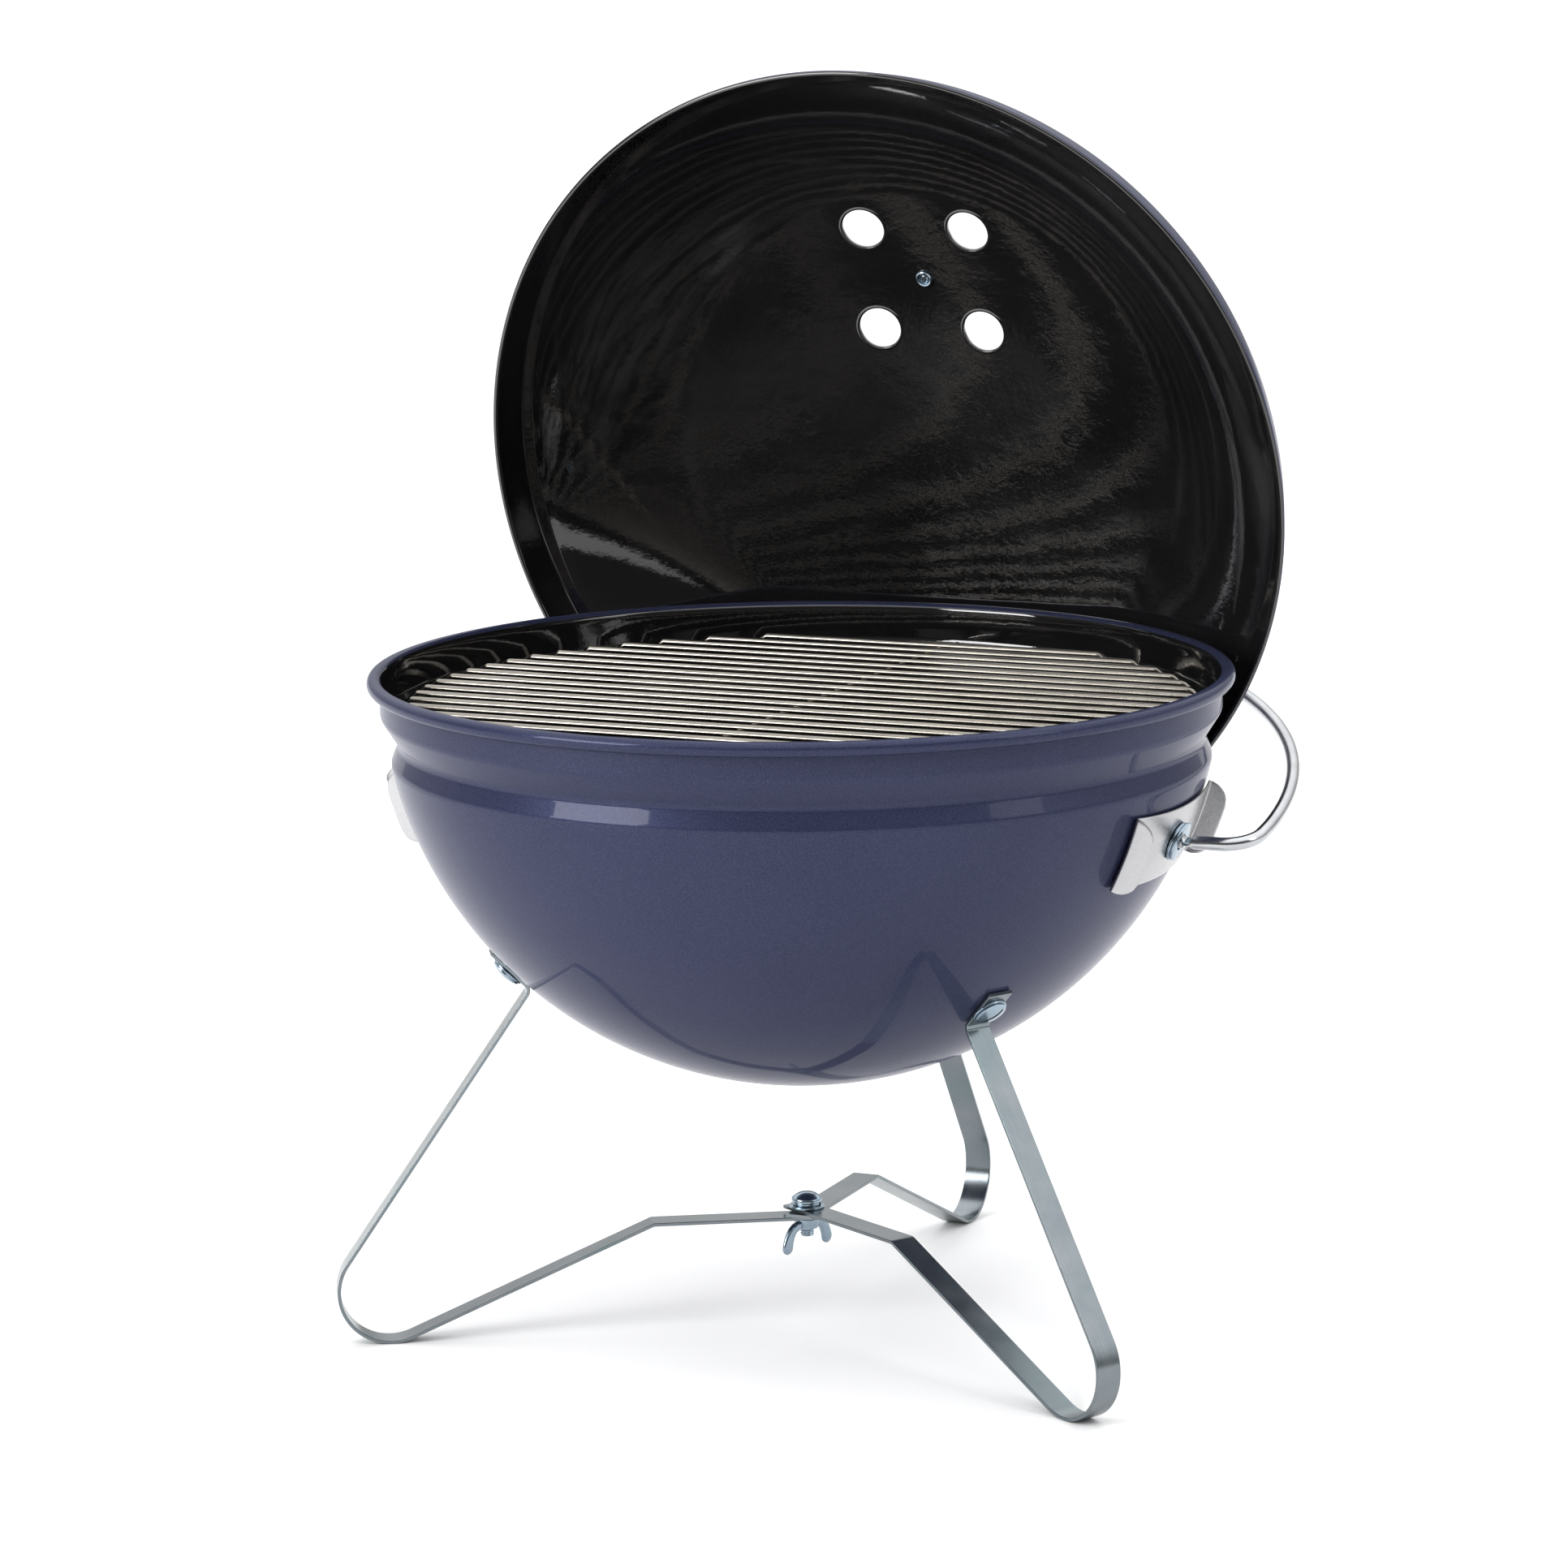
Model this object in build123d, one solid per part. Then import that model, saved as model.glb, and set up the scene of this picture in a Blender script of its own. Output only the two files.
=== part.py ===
from build123d import *
from math import acos, asin, atan2, cos, degrees, hypot, radians, sin, sqrt
import os

# A kettle grill with its lid hung on the bowl's back rim, inside the lowered bail.
# Origin on the ground under the bowl's axis; +X to the right along the bail's pivot axis, -Y front, +Z up.
# Millimetres and degrees.

# Bowl
wall = 1.0                    # enamelled sheet steel of bowl and lid
bowl_centre = 289.0           # height of the middle of the bowl's sphere
bowl_radius = 178.6           # outside of the sphere, and of the neck above it
sphere_end = 77.6             # the sphere ends here, measured from straight down
groove = (171.0, 259.6)       # (radius, height) of the groove under the neck
neck_start = 271.5
neck_bend = 5.0
bead_radius = 3.0             # section of the rolled rim
bead_ring = 181.0
bead_height = 285.3
m5_hole = 2.7
m5_shank = 2.45
m5_thread = 2.5

# Legs: bent flat strips that meet under the bowl
leg_azimuths = {"leg_left": 210.0, "leg_back": 90.0, "leg_right": 330.0}
strip_width = 12.0
strip = 1.5
fit_gap = 0.02                # left between faces that touch
inner_end = 9.0               # a strip's end past the centre bolt
knee = 67.0
knee_height = 47.05           # underside of the lowest strip at the centre
foot_radius = 22.85
foot_ring = 180.5             # distance of the foot's arc centre from the bowl's axis
tab_angle = 44.7              # where the tab lies on the bowl, from straight down
tab_below = 11.7
tab_above = 11.2
strip_bend = 2.5
m6_hole = 3.2
m6_shank = 2.95
m6_thread = 3.0

# Screws, washers and nuts
leg_washer = (7.5, 1.0)       # radius, thickness
leg_head = (6.8, 2.6)         # radius, height
nut_size = (8.0, 4.0)         # across flats, height
centre_washer = (7.6, 1.2)
centre_lock = (6.2, 1.5)
centre_head = (6.6, 4.2)
bolt_end = 39.0               # height of the centre bolt's lower end
slot_width = 1.3
slot_depth = 1.1

# Wing nut
wing_hub = (5.6, 4.5)         # radius, height
wing_reach = 13.0
wing_drop = 11.1
wing_tip = 3.0
wing_sheet = 2.0
wing_azimuth = 73.0

# Bail and its pivots
pivot_height = 224.0
bail_wire = 2.9               # wire radius
bail_radius = 201.8           # hoop centre line
bail_offset = 22.6            # from the pivot axis to the hoop's centre
bail_tilt = 12.0              # the hoop's plane rises this much towards the back
bail_end = 157.0
bail_bend = 14.0
ear_places = (160.35, 174.15)
ear_size = (2.7, 8.0, 2.6)
pivot_hole = 3.6
pivot_washer = (8.5, 1.3)
washer_places = (176.65, 181.0, 182.35)   # from the bowl's centre, along the pivot's normal

# Side dampers
plate_sheet = 0.9
plate_inside = 179.4          # shell radius of the plate's inner face
plate_length = 92.0
plate_height = 33.0
lip_height = 10.0
lip_corner = 8.0
vent_hole = 7.0
vent_spacing = 30.0           # each side of the pivot

# Grates
bar_count = 21
bar_spacing = 14.78
bar_wire = 1.75
bar_height = 274.32
bar_reach = 170.5
bar_drop = 4.2
bar_slope = 5.0
ring_wire = 2.5
ring_radius = 171.0
ring_height = 266.14
crossbar_x = 4.0
crossbar_height = 270.37
coal_ring = 130.0
coal_bar_count = 13
coal_bar_spacing = 18.0
coal_bar_wire = 2.0
weld = 0.35                   # how far welded wires sink into each other

# Lid, in its own frame: +Z out of the dome, +Y downwards as it hangs
lid_shift = -5.4
lid_back = 100.25
lid_height = 353.5
lid_lean = 12.6
lid_rim = 186.5
lid_skirt = (181.0, 18.0)     # radius, depth
lid_step = (177.0, 20.5)
lid_depth = 81.0
lid_crown = 410.0             # outside radius of the dome's flat middle
lid_shoulder = 120.0          # and of the bend from there to the step
hem_radius = 1.3
vent_centre = 70.3            # from the lid's axis towards its top
vent_square = 50.0
lid_vent = 9.8
damper_sheet = 0.8
damper_radius = 48.0
damper_gap = 0.3
rivet = (2.2, 4.0, 1.3)       # shank radius, head radius, head height
finger_tab = (14.0, 10.0)     # width, height

# Lid handle
foot_place = 65.0
foot_half = 9.0
bridge_half = 54.0
bridge_height = 22.0          # top of the bracket above the dome
bracket_width = 22.0
bracket = 1.5
shield_half = (30.0, 26.5)
shield_sheet = 0.8
shield_lip = 4.0
screw_place = 18.0
pedestal = (52.0, 22.0, 20.0)
grip = (112.0, 24.0, 18.0)
grip_round = 5.0
handle_washer = (4.8, 1.2)
handle_head = (4.6, 3.0)
handle_screw_reach = 17.0


# ---- helpers

def upright(shape):
    """Stands a shape drawn in the XY plane up, so that its Y runs along +Z."""
    return Rot(90, 0, 0) * shape


def ring_section(face):
    """Turns a section drawn as (radius, height) into a solid about Z."""
    return revolve(upright(face), Axis.Z, 360)


def cap_arc(radius, edge, top):
    """Arc of a spherical cap, from (radius, edge) to its apex at (0, top)."""
    rise = top - edge
    sphere = (radius ** 2 + rise ** 2) / (2 * rise)
    half = asin(radius / sphere) / 2
    middle = (sphere * sin(half), top - sphere + sphere * cos(half))
    return ThreePointArc((radius, edge), middle, (0, top))


def sheet_section(path, thickness):
    """Section of a bent sheet; the path is its right-hand face, seen along the path."""
    outline = offset(path, amount=thickness, side=Side.LEFT, closed=True)
    return make_face(outline.edges())


def rounded(path, radius, points):
    """A wire with some of its corners rounded."""
    corners = [path.vertices().sort_by_distance(Vector(*point))[0] for point in points]
    return path.fillet_2d(radius, corners)


def disc(radius, height, hole=0.0):
    """A washer or round plate that stands on Z = 0."""
    body = Pos(0, 0, height / 2) * Cylinder(radius, height)
    if hole:
        body -= Cylinder(hole, 4 * height)
    return body


def domed_head(radius, height):
    """A thin slotted screw head that stands on Z = 0."""
    edge = height * 0.35
    side = Polyline((0, 0), (radius, 0), (radius, edge))
    crown = cap_arc(radius, edge, height)
    axis = Line((0, height), (0, 0))
    head = ring_section(make_face([*side.edges(), *crown.edges(), axis.edge()]))
    slot = Box(3 * radius, slot_width, 2 * slot_depth)
    return head - Pos(0, 0, height) * slot


def split_washer(size, hole):
    """A spring lock washer, cut through on one side."""
    radius, height = size
    cut = Pos(radius, 0, height / 2) * Rot(30, 0, 0) * Box(radius * 1.2, 0.8, 3 * height)
    return disc(radius, height, hole) - cut


def shell_patch(inside, thickness, radius):
    """A round piece of a spherical shell about the origin, with +Z through its middle."""
    outside = inside + thickness
    low = sqrt(inside ** 2 - radius ** 2)
    high = sqrt(outside ** 2 - radius ** 2)
    lower = cap_arc(radius, low, inside)
    upper = cap_arc(radius, high, outside)
    rim = Line((radius, low), (radius, high))
    axis = Line((0, inside), (0, outside))
    return ring_section(make_face([lower.edge(), upper.edge(), rim.edge(), axis.edge()]))


# ---- places

def bowl_point(angle, radius):
    """(radius, height) on a sphere about the bowl's centre, by the angle from straight down."""
    return (radius * sin(radians(angle)), bowl_centre - radius * cos(radians(angle)))


def tab_place(azimuth):
    """Frame at the bowl's centre, with +Z out through a leg's tab."""
    return Pos(0, 0, bowl_centre) * Rot(0, 0, azimuth) * Rot(0, 180 - tab_angle, 0)


def pivot_angle():
    """How far the pivot's normal points below the horizontal."""
    plate_middle = plate_inside + plate_sheet / 2
    return degrees(asin((bowl_centre - pivot_height) / plate_middle))


def pivot_place(side):
    """Frame at the bowl's centre: +Z out through the pivot, +Y along the bowl's Y."""
    return Pos(0, 0, bowl_centre) * Rot(0, side * (90 + pivot_angle()), 0)


def wire_pass(distance):
    """Offset, in the pivot frame, of the bail's wire at a distance from the bowl's centre."""
    drop = bowl_centre - pivot_height
    tilt = radians(pivot_angle())
    reach = (distance - drop * sin(tilt)) / cos(tilt)
    return drop * cos(tilt) - reach * sin(tilt)


def lid_place():
    """The lid's frame as it hangs."""
    return Location((lid_shift, lid_back, lid_height), (lid_lean - 90, 0, 0))


def crown_edge():
    """Angle at which the dome's crown runs into its shoulder, seen from the crown's centre."""
    radius, depth = lid_step
    rise = depth - (lid_depth - lid_crown)
    step_distance = hypot(radius, rise)
    reach = lid_crown - lid_shoulder
    spread = acos((reach ** 2 + step_distance ** 2 - lid_shoulder ** 2) / (2 * reach * step_distance))
    return degrees(atan2(radius, rise) - spread)


def vent_place():
    """Frame at the dome's sphere centre, with +Z out through the middle of the vents."""
    tilt = degrees(asin(vent_centre / lid_crown))
    return Pos(0, 0, lid_depth - lid_crown) * Rot(tilt, 0, 0)


def square_corners():
    """Corners of the square of vent holes."""
    half = vent_square / 2
    return [(x, y) for x in (-half, half) for y in (-half, half)]


# ---- bowl

def make_bowl():
    end = bowl_point(sphere_end, bowl_radius)
    belly = ThreePointArc(bowl_point(0, bowl_radius), bowl_point(sphere_end / 2, bowl_radius), end)
    shoulder = (bowl_radius, neck_start)
    neck = Polyline(end, groove, shoulder, (bowl_radius, bead_height))
    path = Wire([*belly.edges(), *neck.edges()])
    path = rounded(path, neck_bend, [end, groove, shoulder])
    bead = Pos(bead_ring, bead_height) * Circle(bead_radius)
    bowl = ring_section(sheet_section(path, wall) + bead)
    for azimuth in leg_azimuths.values():
        bowl -= tab_place(azimuth) * Pos(0, 0, bowl_radius) * Cylinder(m5_hole, 10)
    vent_turn = degrees(asin(vent_spacing / bowl_radius))
    for side in (-1, 1):
        middle = bowl_radius - wall / 2
        drill = Pos(side * wire_pass(middle), 0, middle) * Cylinder(pivot_hole, 10)
        bowl -= pivot_place(side) * drill
        for turn in (-vent_turn, vent_turn):
            bowl -= pivot_place(side) * Rot(turn, 0, 0) * Pos(0, 0, middle) * Cylinder(vent_hole, 10)
    return bowl


# ---- legs

def tab_point(along, out):
    """(radius, height) on a leg's tab: along it from its hole, and out from the bowl."""
    angle = radians(tab_angle)
    radius, height = bowl_point(tab_angle, bowl_radius + fit_gap + out)
    return (radius + along * cos(angle), height + along * sin(angle))


def foot_touch(point, side):
    """Angle on the foot's circle at which a line from a point touches it."""
    dx = point[0] - foot_ring
    dy = point[1] - foot_radius
    opening = degrees(acos(foot_radius / hypot(dx, dy)))
    return degrees(atan2(dy, dx)) + side * opening


def foot_point(angle):
    turn = radians(angle)
    return (foot_ring + foot_radius * cos(turn), foot_radius + foot_radius * sin(turn))


def make_leg(azimuth, level):
    """One strip: tab on the bowl, strut to the foot, strut back to the knee, end on the centre bolt."""
    height = knee_height + level * (strip + fit_gap)
    knee_point = (knee, height)
    low_bend = tab_point(-tab_below, strip)
    start = foot_touch(knee_point, 1)
    finish = foot_touch(low_bend, -1) + 360
    inner = Polyline((-inner_end, height), knee_point, foot_point(start))
    foot = ThreePointArc(foot_point(start), foot_point((start + finish) / 2), foot_point(finish))
    outer = Polyline(foot_point(finish), low_bend, tab_point(tab_above, strip))
    path = Wire([*inner.edges(), *foot.edges(), *outer.edges()])
    path = rounded(path, strip_bend, [knee_point, low_bend])
    leg = extrude(sheet_section(path, strip), amount=strip_width / 2, both=True)
    leg = Rot(0, 0, azimuth) * upright(leg)
    leg -= Pos(0, 0, height) * Cylinder(m6_hole, 10)
    leg -= tab_place(azimuth) * Pos(0, 0, bowl_radius) * Cylinder(m5_hole, 10)
    return leg


def make_leg_screw():
    """From the nut inside the bowl out to the slotted head, in a tab's frame."""
    seat = bowl_radius + strip + leg_washer[1] + 3 * fit_gap
    start = bowl_radius - wall - nut_size[1] - 1.5
    shank = Pos(0, 0, start) * disc(m5_shank, seat - start)
    return shank + Pos(0, 0, seat) * domed_head(*leg_head)


def make_nut():
    """In a tab's frame, against the bowl's inside."""
    flat, height = nut_size
    blank = extrude(RegularPolygon(flat / 2, 6, major_radius=False), amount=height)
    blank -= Cylinder(m5_thread, 3 * height)
    return Pos(0, 0, bowl_radius - wall - 0.1 - height) * blank


# ---- centre bolt

def strips_top():
    return knee_height + 3 * strip + 2 * fit_gap


def make_centre_bolt():
    seat = strips_top() + centre_washer[1] + centre_lock[1] + 3 * fit_gap
    shank = Pos(0, 0, bolt_end) * disc(m6_shank, seat - bolt_end)
    return shank + Pos(0, 0, seat) * Rot(0, 0, 25) * domed_head(*centre_head)


def make_wing_nut():
    """Hub under the strips, with two wings that point down and out."""
    radius, height = wing_hub
    hub = Pos(0, 0, -height) * disc(radius, height)
    tip = Pos(wing_reach, -wing_drop) * Circle(wing_tip)
    root = Pos(radius - 1.5, -height + 1.5) * Circle(1.4)
    wing = extrude(make_hull([*tip.edges(), *root.edges()]), amount=wing_sheet / 2, both=True)
    wing = upright(wing)
    nut = hub + wing + Rot(0, 0, 180) * wing
    nut -= Cylinder(m6_thread, 6 * height)
    return Pos(0, 0, knee_height - fit_gap) * Rot(0, 0, wing_azimuth) * nut


# ---- bail

def make_bail():
    """Wire hoop with straight ends through the bowl, and flattened ears beside the washers."""
    corner = sqrt(bail_radius ** 2 - bail_offset ** 2)
    right = Line((bail_end, 0), (corner, 0))
    hoop = ThreePointArc((corner, 0), (0, bail_offset + bail_radius), (-corner, 0))
    left = Line((-corner, 0), (-bail_end, 0))
    path = Wire([right.edge(), hoop.edge(), left.edge()])
    path = rounded(path, bail_bend, [(corner, 0), (-corner, 0)])
    section = Plane(origin=(bail_end, 0, 0), z_dir=(1, 0, 0)) * Circle(bail_wire)
    bail = sweep(section, path=path)
    for place in ear_places:
        for side in (-1, 1):
            bail += Pos(side * place, 0, 0) * Box(*ear_size)
    return Pos(0, 0, pivot_height) * Rot(bail_tilt, 0, 0) * bail


def make_pivot_washers(side):
    """One washer inside the bowl and two outside the damper plate, centred on the bail's wire."""
    washers = []
    for distance in washer_places:
        place = Pos(side * wire_pass(distance), 0, distance - pivot_washer[1] / 2)
        washers.append(pivot_place(side) * place * disc(*pivot_washer, hole=pivot_hole))
    return Compound(children=washers)


def make_side_damper(side):
    """A curved plate over two vent holes, with a finger lip on each end."""
    plate = shell_patch(plate_inside, plate_sheet, hypot(plate_length, plate_height) / 2 + 1)
    plate &= Box(plate_height, plate_length, 3 * plate_inside)
    end_level = sqrt(plate_inside ** 2 - (plate_length / 2) ** 2)
    blank = Pos(0, end_level + (lip_height - 4) / 2) * Rectangle(plate_height, lip_height + 4)
    blank = fillet(blank.vertices().sort_by(Axis.Y)[-2:], lip_corner)
    lip = upright(extrude(blank, amount=plate_sheet / 2, both=True))
    lip_place = (plate_length - plate_sheet) / 2
    for end in (-1, 1):
        plate += Pos(0, end * lip_place, 0) * lip
    plate -= Sphere(plate_inside)
    plate -= Cylinder(pivot_hole, 3 * plate_inside)
    return pivot_place(side) * plate


# ---- grates

def bar_solid(half, height, wire):
    """A straight bar along X."""
    return Pos(0, 0, height) * Rot(0, 90, 0) * Cylinder(wire, 2 * half)


def bent_bar(half):
    """A bar of the cooking grate, with its ends bent down to the ring."""
    low = bar_height - bar_drop
    bend = half - bar_slope
    line = Polyline((-half, low), (-bend, bar_height), (bend, bar_height), (half, low))
    path = rounded(Wire(line.edges()), 2.2, [(-bend, bar_height), (bend, bar_height)])
    path = upright(path)
    section = Plane(origin=path @ 0, z_dir=path % 0) * Circle(bar_wire)
    return sweep(section, path=path)


def make_cooking_grate():
    grate = Pos(0, 0, ring_height) * Torus(ring_radius, ring_wire)
    cross = Pos(crossbar_x, 0, crossbar_height) * Rot(90, 0, 0)
    grate += cross * Cylinder(ring_wire, 2 * (bar_reach - 0.5))
    bars = []
    for index in range(bar_count):
        place = (index - (bar_count - 1) / 2) * bar_spacing
        bars.append(Pos(0, place, 0) * bent_bar(sqrt(bar_reach ** 2 - place ** 2)))
    return grate + bars


def make_charcoal_grate():
    inside = bowl_radius - wall - ring_wire - 2 * fit_gap
    height = bowl_centre - sqrt(inside ** 2 - coal_ring ** 2)
    grate = Pos(0, 0, height) * Torus(coal_ring, ring_wire)
    level = height + ring_wire + coal_bar_wire - weld
    bars = []
    for index in range(coal_bar_count):
        place = (index - (coal_bar_count - 1) / 2) * coal_bar_spacing
        half = sqrt(coal_ring ** 2 - place ** 2)
        bars.append(Pos(0, place, 0) * bar_solid(half, level, coal_bar_wire))
    return grate + bars


# ---- lid

def make_lid():
    start = (lid_rim, 0)
    skirt = Polyline(start, lid_skirt, lid_step)
    lean = crown_edge()
    base = lid_depth - lid_crown
    reach = lid_crown - lid_shoulder
    x, z = reach * sin(radians(lean)), base + reach * cos(radians(lean))
    step_angle = degrees(atan2(lid_step[1] - z, lid_step[0] - x))
    shoulder = CenterArc((x, z), lid_shoulder, step_angle, 90 - lean - step_angle)
    crown = CenterArc((0, base), lid_crown, 90 - lean, lean)
    path = Wire([*skirt.edges(), shoulder, crown])
    path = rounded(path, 3.0, [lid_skirt, lid_step])
    hem = Pos(lid_rim - hem_radius, hem_radius) * Circle(hem_radius)
    lid = ring_section(sheet_section(path, wall) + hem)
    for x, y in square_corners():
        lid -= vent_place() * Pos(x, y, lid_crown) * Cylinder(lid_vent, 30)
    lid -= vent_place() * Pos(0, 0, lid_crown) * Cylinder(rivet[0] + 0.05, 20)
    return lid_place() * lid


def make_lid_damper():
    """A round curved plate with four holes and a bent-up finger tab."""
    inside = lid_crown + damper_gap
    plate = shell_patch(inside, damper_sheet, damper_radius)
    width, height = finger_tab
    tab_radius = damper_radius - damper_sheet / 2
    tab_root = sqrt(inside ** 2 - tab_radius ** 2)
    tab = Pos(0, -tab_radius, tab_root + height / 2) * Box(width, damper_sheet, height)
    plate += tab
    plate -= Sphere(inside)
    for x, y in square_corners():
        plate -= Pos(x, y, inside) * Cylinder(lid_vent, 30)
    plate -= Pos(0, 0, inside) * Cylinder(rivet[0] + 0.08, 20)
    return lid_place() * vent_place() * plate


def make_rivet():
    """Holds the lid damper on the dome, with a head on each side."""
    shank, head, height = rivet
    low = lid_crown - wall - 0.05
    high = lid_crown + damper_gap + damper_sheet + 0.05
    body = Pos(0, 0, low - 0.2) * disc(shank, high - low + 0.4)
    body += Pos(0, 0, high) * disc(head, height)
    body += Pos(0, 0, low - height) * disc(head, height)
    return lid_place() * vent_place() * body


def bridge_top():
    return lid_depth + bridge_height


def make_handle_bracket():
    """A strap with two feet spot-welded to the dome."""
    lean = asin(foot_place / lid_crown)
    radius = lid_crown + fit_gap
    foot_x = radius * sin(lean)
    foot_z = lid_depth - lid_crown + radius * cos(lean)
    outer = (foot_x + foot_half * cos(lean), foot_z - foot_half * sin(lean))
    inner = (foot_x - foot_half * cos(lean), foot_z + foot_half * sin(lean))
    corner = (bridge_half, bridge_top() - bracket)
    right = [corner, inner, outer]
    left = [(-x, z) for x, z in reversed(right)]
    path = rounded(Wire(Polyline(*left, *right).edges()), 2.0, [*left[1:], *right[:2]])
    strap = upright(extrude(sheet_section(path, bracket), amount=bracket_width / 2, both=True))
    for side in (-1, 1):
        strap -= Pos(side * screw_place, 0, bridge_top()) * Cylinder(m5_hole, 10)
    return lid_place() * strap


def make_heat_shield():
    """A thin plate on the bracket, with its long edges turned down."""
    half_length, half_width = shield_half
    flat = half_width - shield_lip
    line = Polyline((-half_width, -shield_lip), (-flat, 0), (flat, 0), (half_width, -shield_lip))
    path = rounded(Wire(line.edges()), 2.0, [(-flat, 0), (flat, 0)])
    plate = extrude(sheet_section(path, shield_sheet), amount=half_length, both=True)
    plate = Rot(0, 0, 90) * upright(plate)
    for side in (-1, 1):
        plate -= Pos(side * screw_place, 0, 0) * Cylinder(m5_hole, 10)
    return lid_place() * Pos(0, 0, bridge_top() + fit_gap) * plate


def grip_base():
    return bridge_top() + shield_sheet + 2 * fit_gap


def make_lid_handle():
    """A bar grip on a short pedestal, with two blind screw holes."""
    foot = fillet(Box(*pedestal).edges().filter_by(Axis.Z), 6.0)
    bar = fillet(Box(*grip).edges(), grip_round)
    body = Pos(0, 0, pedestal[2] / 2) * foot + Pos(0, 0, pedestal[2] + grip[2] / 2 - 3) * bar
    for side in (-1, 1):
        body -= Pos(side * screw_place, 0, 0) * Cylinder(m5_thread, 2 * handle_screw_reach)
    return lid_place() * Pos(0, 0, grip_base()) * body


def handle_seat():
    return bridge_top() - bracket - fit_gap


def make_handle_screw():
    """Upwards through lock washer, bracket and heat shield into the grip."""
    washer_face = handle_seat() - handle_washer[1] - fit_gap
    radius, height = handle_head
    head = Pos(0, 0, washer_face) * Rot(180, 0, 0) * domed_head(radius, height)
    top = grip_base() + handle_screw_reach - 1
    return head + Pos(0, 0, washer_face) * disc(m5_shank, top - washer_face)


def handle_pair(shape):
    return Compound(children=[lid_place() * Pos(side * screw_place, 0, 0) * shape for side in (-1, 1)])


# ---- assembly

def on_tabs(shape):
    """The same piece on each leg's tab."""
    return Compound(children=[tab_place(azimuth) * shape for azimuth in leg_azimuths.values()])


def make_parts():
    outside = bowl_radius + strip + 2 * fit_gap
    parts = {
        "bowl": make_bowl(),
        "leg_screws": on_tabs(make_leg_screw()),
        "leg_washers": on_tabs(Pos(0, 0, outside) * disc(*leg_washer, hole=m5_hole)),
        "leg_nuts": on_tabs(make_nut()),
        "centre_bolt": make_centre_bolt(),
        "centre_flat_washer": Pos(0, 0, strips_top() + fit_gap) * disc(*centre_washer, hole=m6_hole),
        "wing_nut": make_wing_nut(),
        "bail": make_bail(),
        "cooking_grate": make_cooking_grate(),
        "charcoal_grate": make_charcoal_grate(),
        "lid": make_lid(),
        "lid_damper": make_lid_damper(),
        "lid_damper_rivet": make_rivet(),
        "handle_bracket": make_handle_bracket(),
        "heat_shield": make_heat_shield(),
        "lid_handle": make_lid_handle(),
        "handle_screws": handle_pair(make_handle_screw()),
    }
    lock_height = strips_top() + centre_washer[1] + 2 * fit_gap
    parts["centre_lock_washer"] = Pos(0, 0, lock_height) * split_washer(centre_lock, m6_hole)
    handle_lock = Pos(0, 0, handle_seat() - handle_washer[1]) * split_washer(handle_washer, m5_hole)
    parts["handle_lock_washers"] = handle_pair(handle_lock)
    for level, (name, azimuth) in enumerate(leg_azimuths.items()):
        parts[name] = make_leg(azimuth, level)
    for name, side in (("left", -1), ("right", 1)):
        parts[name + "_damper"] = make_side_damper(side)
        parts["pivot_washers_" + name] = make_pivot_washers(side)
    return parts


os.makedirs("parts", exist_ok=True)
for name, part in make_parts().items():
    export_step(part, os.path.join("parts", name + ".step"))
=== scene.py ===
import bmesh
import bpy
import numpy as np
from math import acos, asin, atan2, ceil, cos, degrees, hypot, pi, radians, sin, sqrt, tan
from mathutils import Matrix, Vector


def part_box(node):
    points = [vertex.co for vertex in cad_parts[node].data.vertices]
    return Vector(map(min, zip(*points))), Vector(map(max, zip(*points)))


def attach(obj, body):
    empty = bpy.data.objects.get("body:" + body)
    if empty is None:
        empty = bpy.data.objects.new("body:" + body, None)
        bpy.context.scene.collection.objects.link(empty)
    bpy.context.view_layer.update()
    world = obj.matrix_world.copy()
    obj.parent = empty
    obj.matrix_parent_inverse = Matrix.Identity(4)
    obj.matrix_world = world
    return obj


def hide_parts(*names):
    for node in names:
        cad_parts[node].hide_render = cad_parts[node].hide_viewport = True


# A kettle grill with its lid hung at the back. Shapes are drawn in millimetres and scaled to metres.

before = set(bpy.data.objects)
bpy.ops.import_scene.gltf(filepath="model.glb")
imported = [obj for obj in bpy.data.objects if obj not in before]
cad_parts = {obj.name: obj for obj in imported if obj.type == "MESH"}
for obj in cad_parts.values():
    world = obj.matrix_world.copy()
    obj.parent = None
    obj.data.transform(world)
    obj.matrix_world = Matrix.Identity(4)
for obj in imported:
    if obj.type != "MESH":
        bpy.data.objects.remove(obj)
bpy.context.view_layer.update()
MM = 0.001

# Bowl
SHEET = 1.0
BOWL_CENTRE = 289.0
BOWL_RADIUS = 178.6
SPHERE_END = 77.6             # degrees from straight down
GROOVE = (171.0, 259.6)       # radius and height where it is deepest
NECK_START = 271.5            # height where the straight neck begins
NECK_BEND = 5.0
BEAD_CENTRE = (180.8, 285.1)
BEAD_SHEET_RADIUS = 2.7
BEAD_END = -122.0

# Legs
# Each leg has its direction in degrees and its place in the stack under the bowl.
LEGS = {"leg_left": (210.0, 0), "leg_back": (90.0, 1), "leg_right": (330.0, 2)}
STRIP_WIDTH = 12.0
STRIP = 1.5
STRIP_PITCH = 1.52
INNER_END = 9.0
KNEE = 67.0
KNEE_HEIGHT = 47.05
FOOT_RADIUS = 22.85
FOOT_RING = 180.5
TAB_ANGLE = 44.7              # degrees from straight down to the screw
TAB_BELOW = 11.7
TAB_ABOVE = 11.2
STRIP_BEND = 2.5
FLAT_EDGE = 0.12              # keeps a strip's shading flat up to its rounded edges
GAP = 0.02

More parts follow.
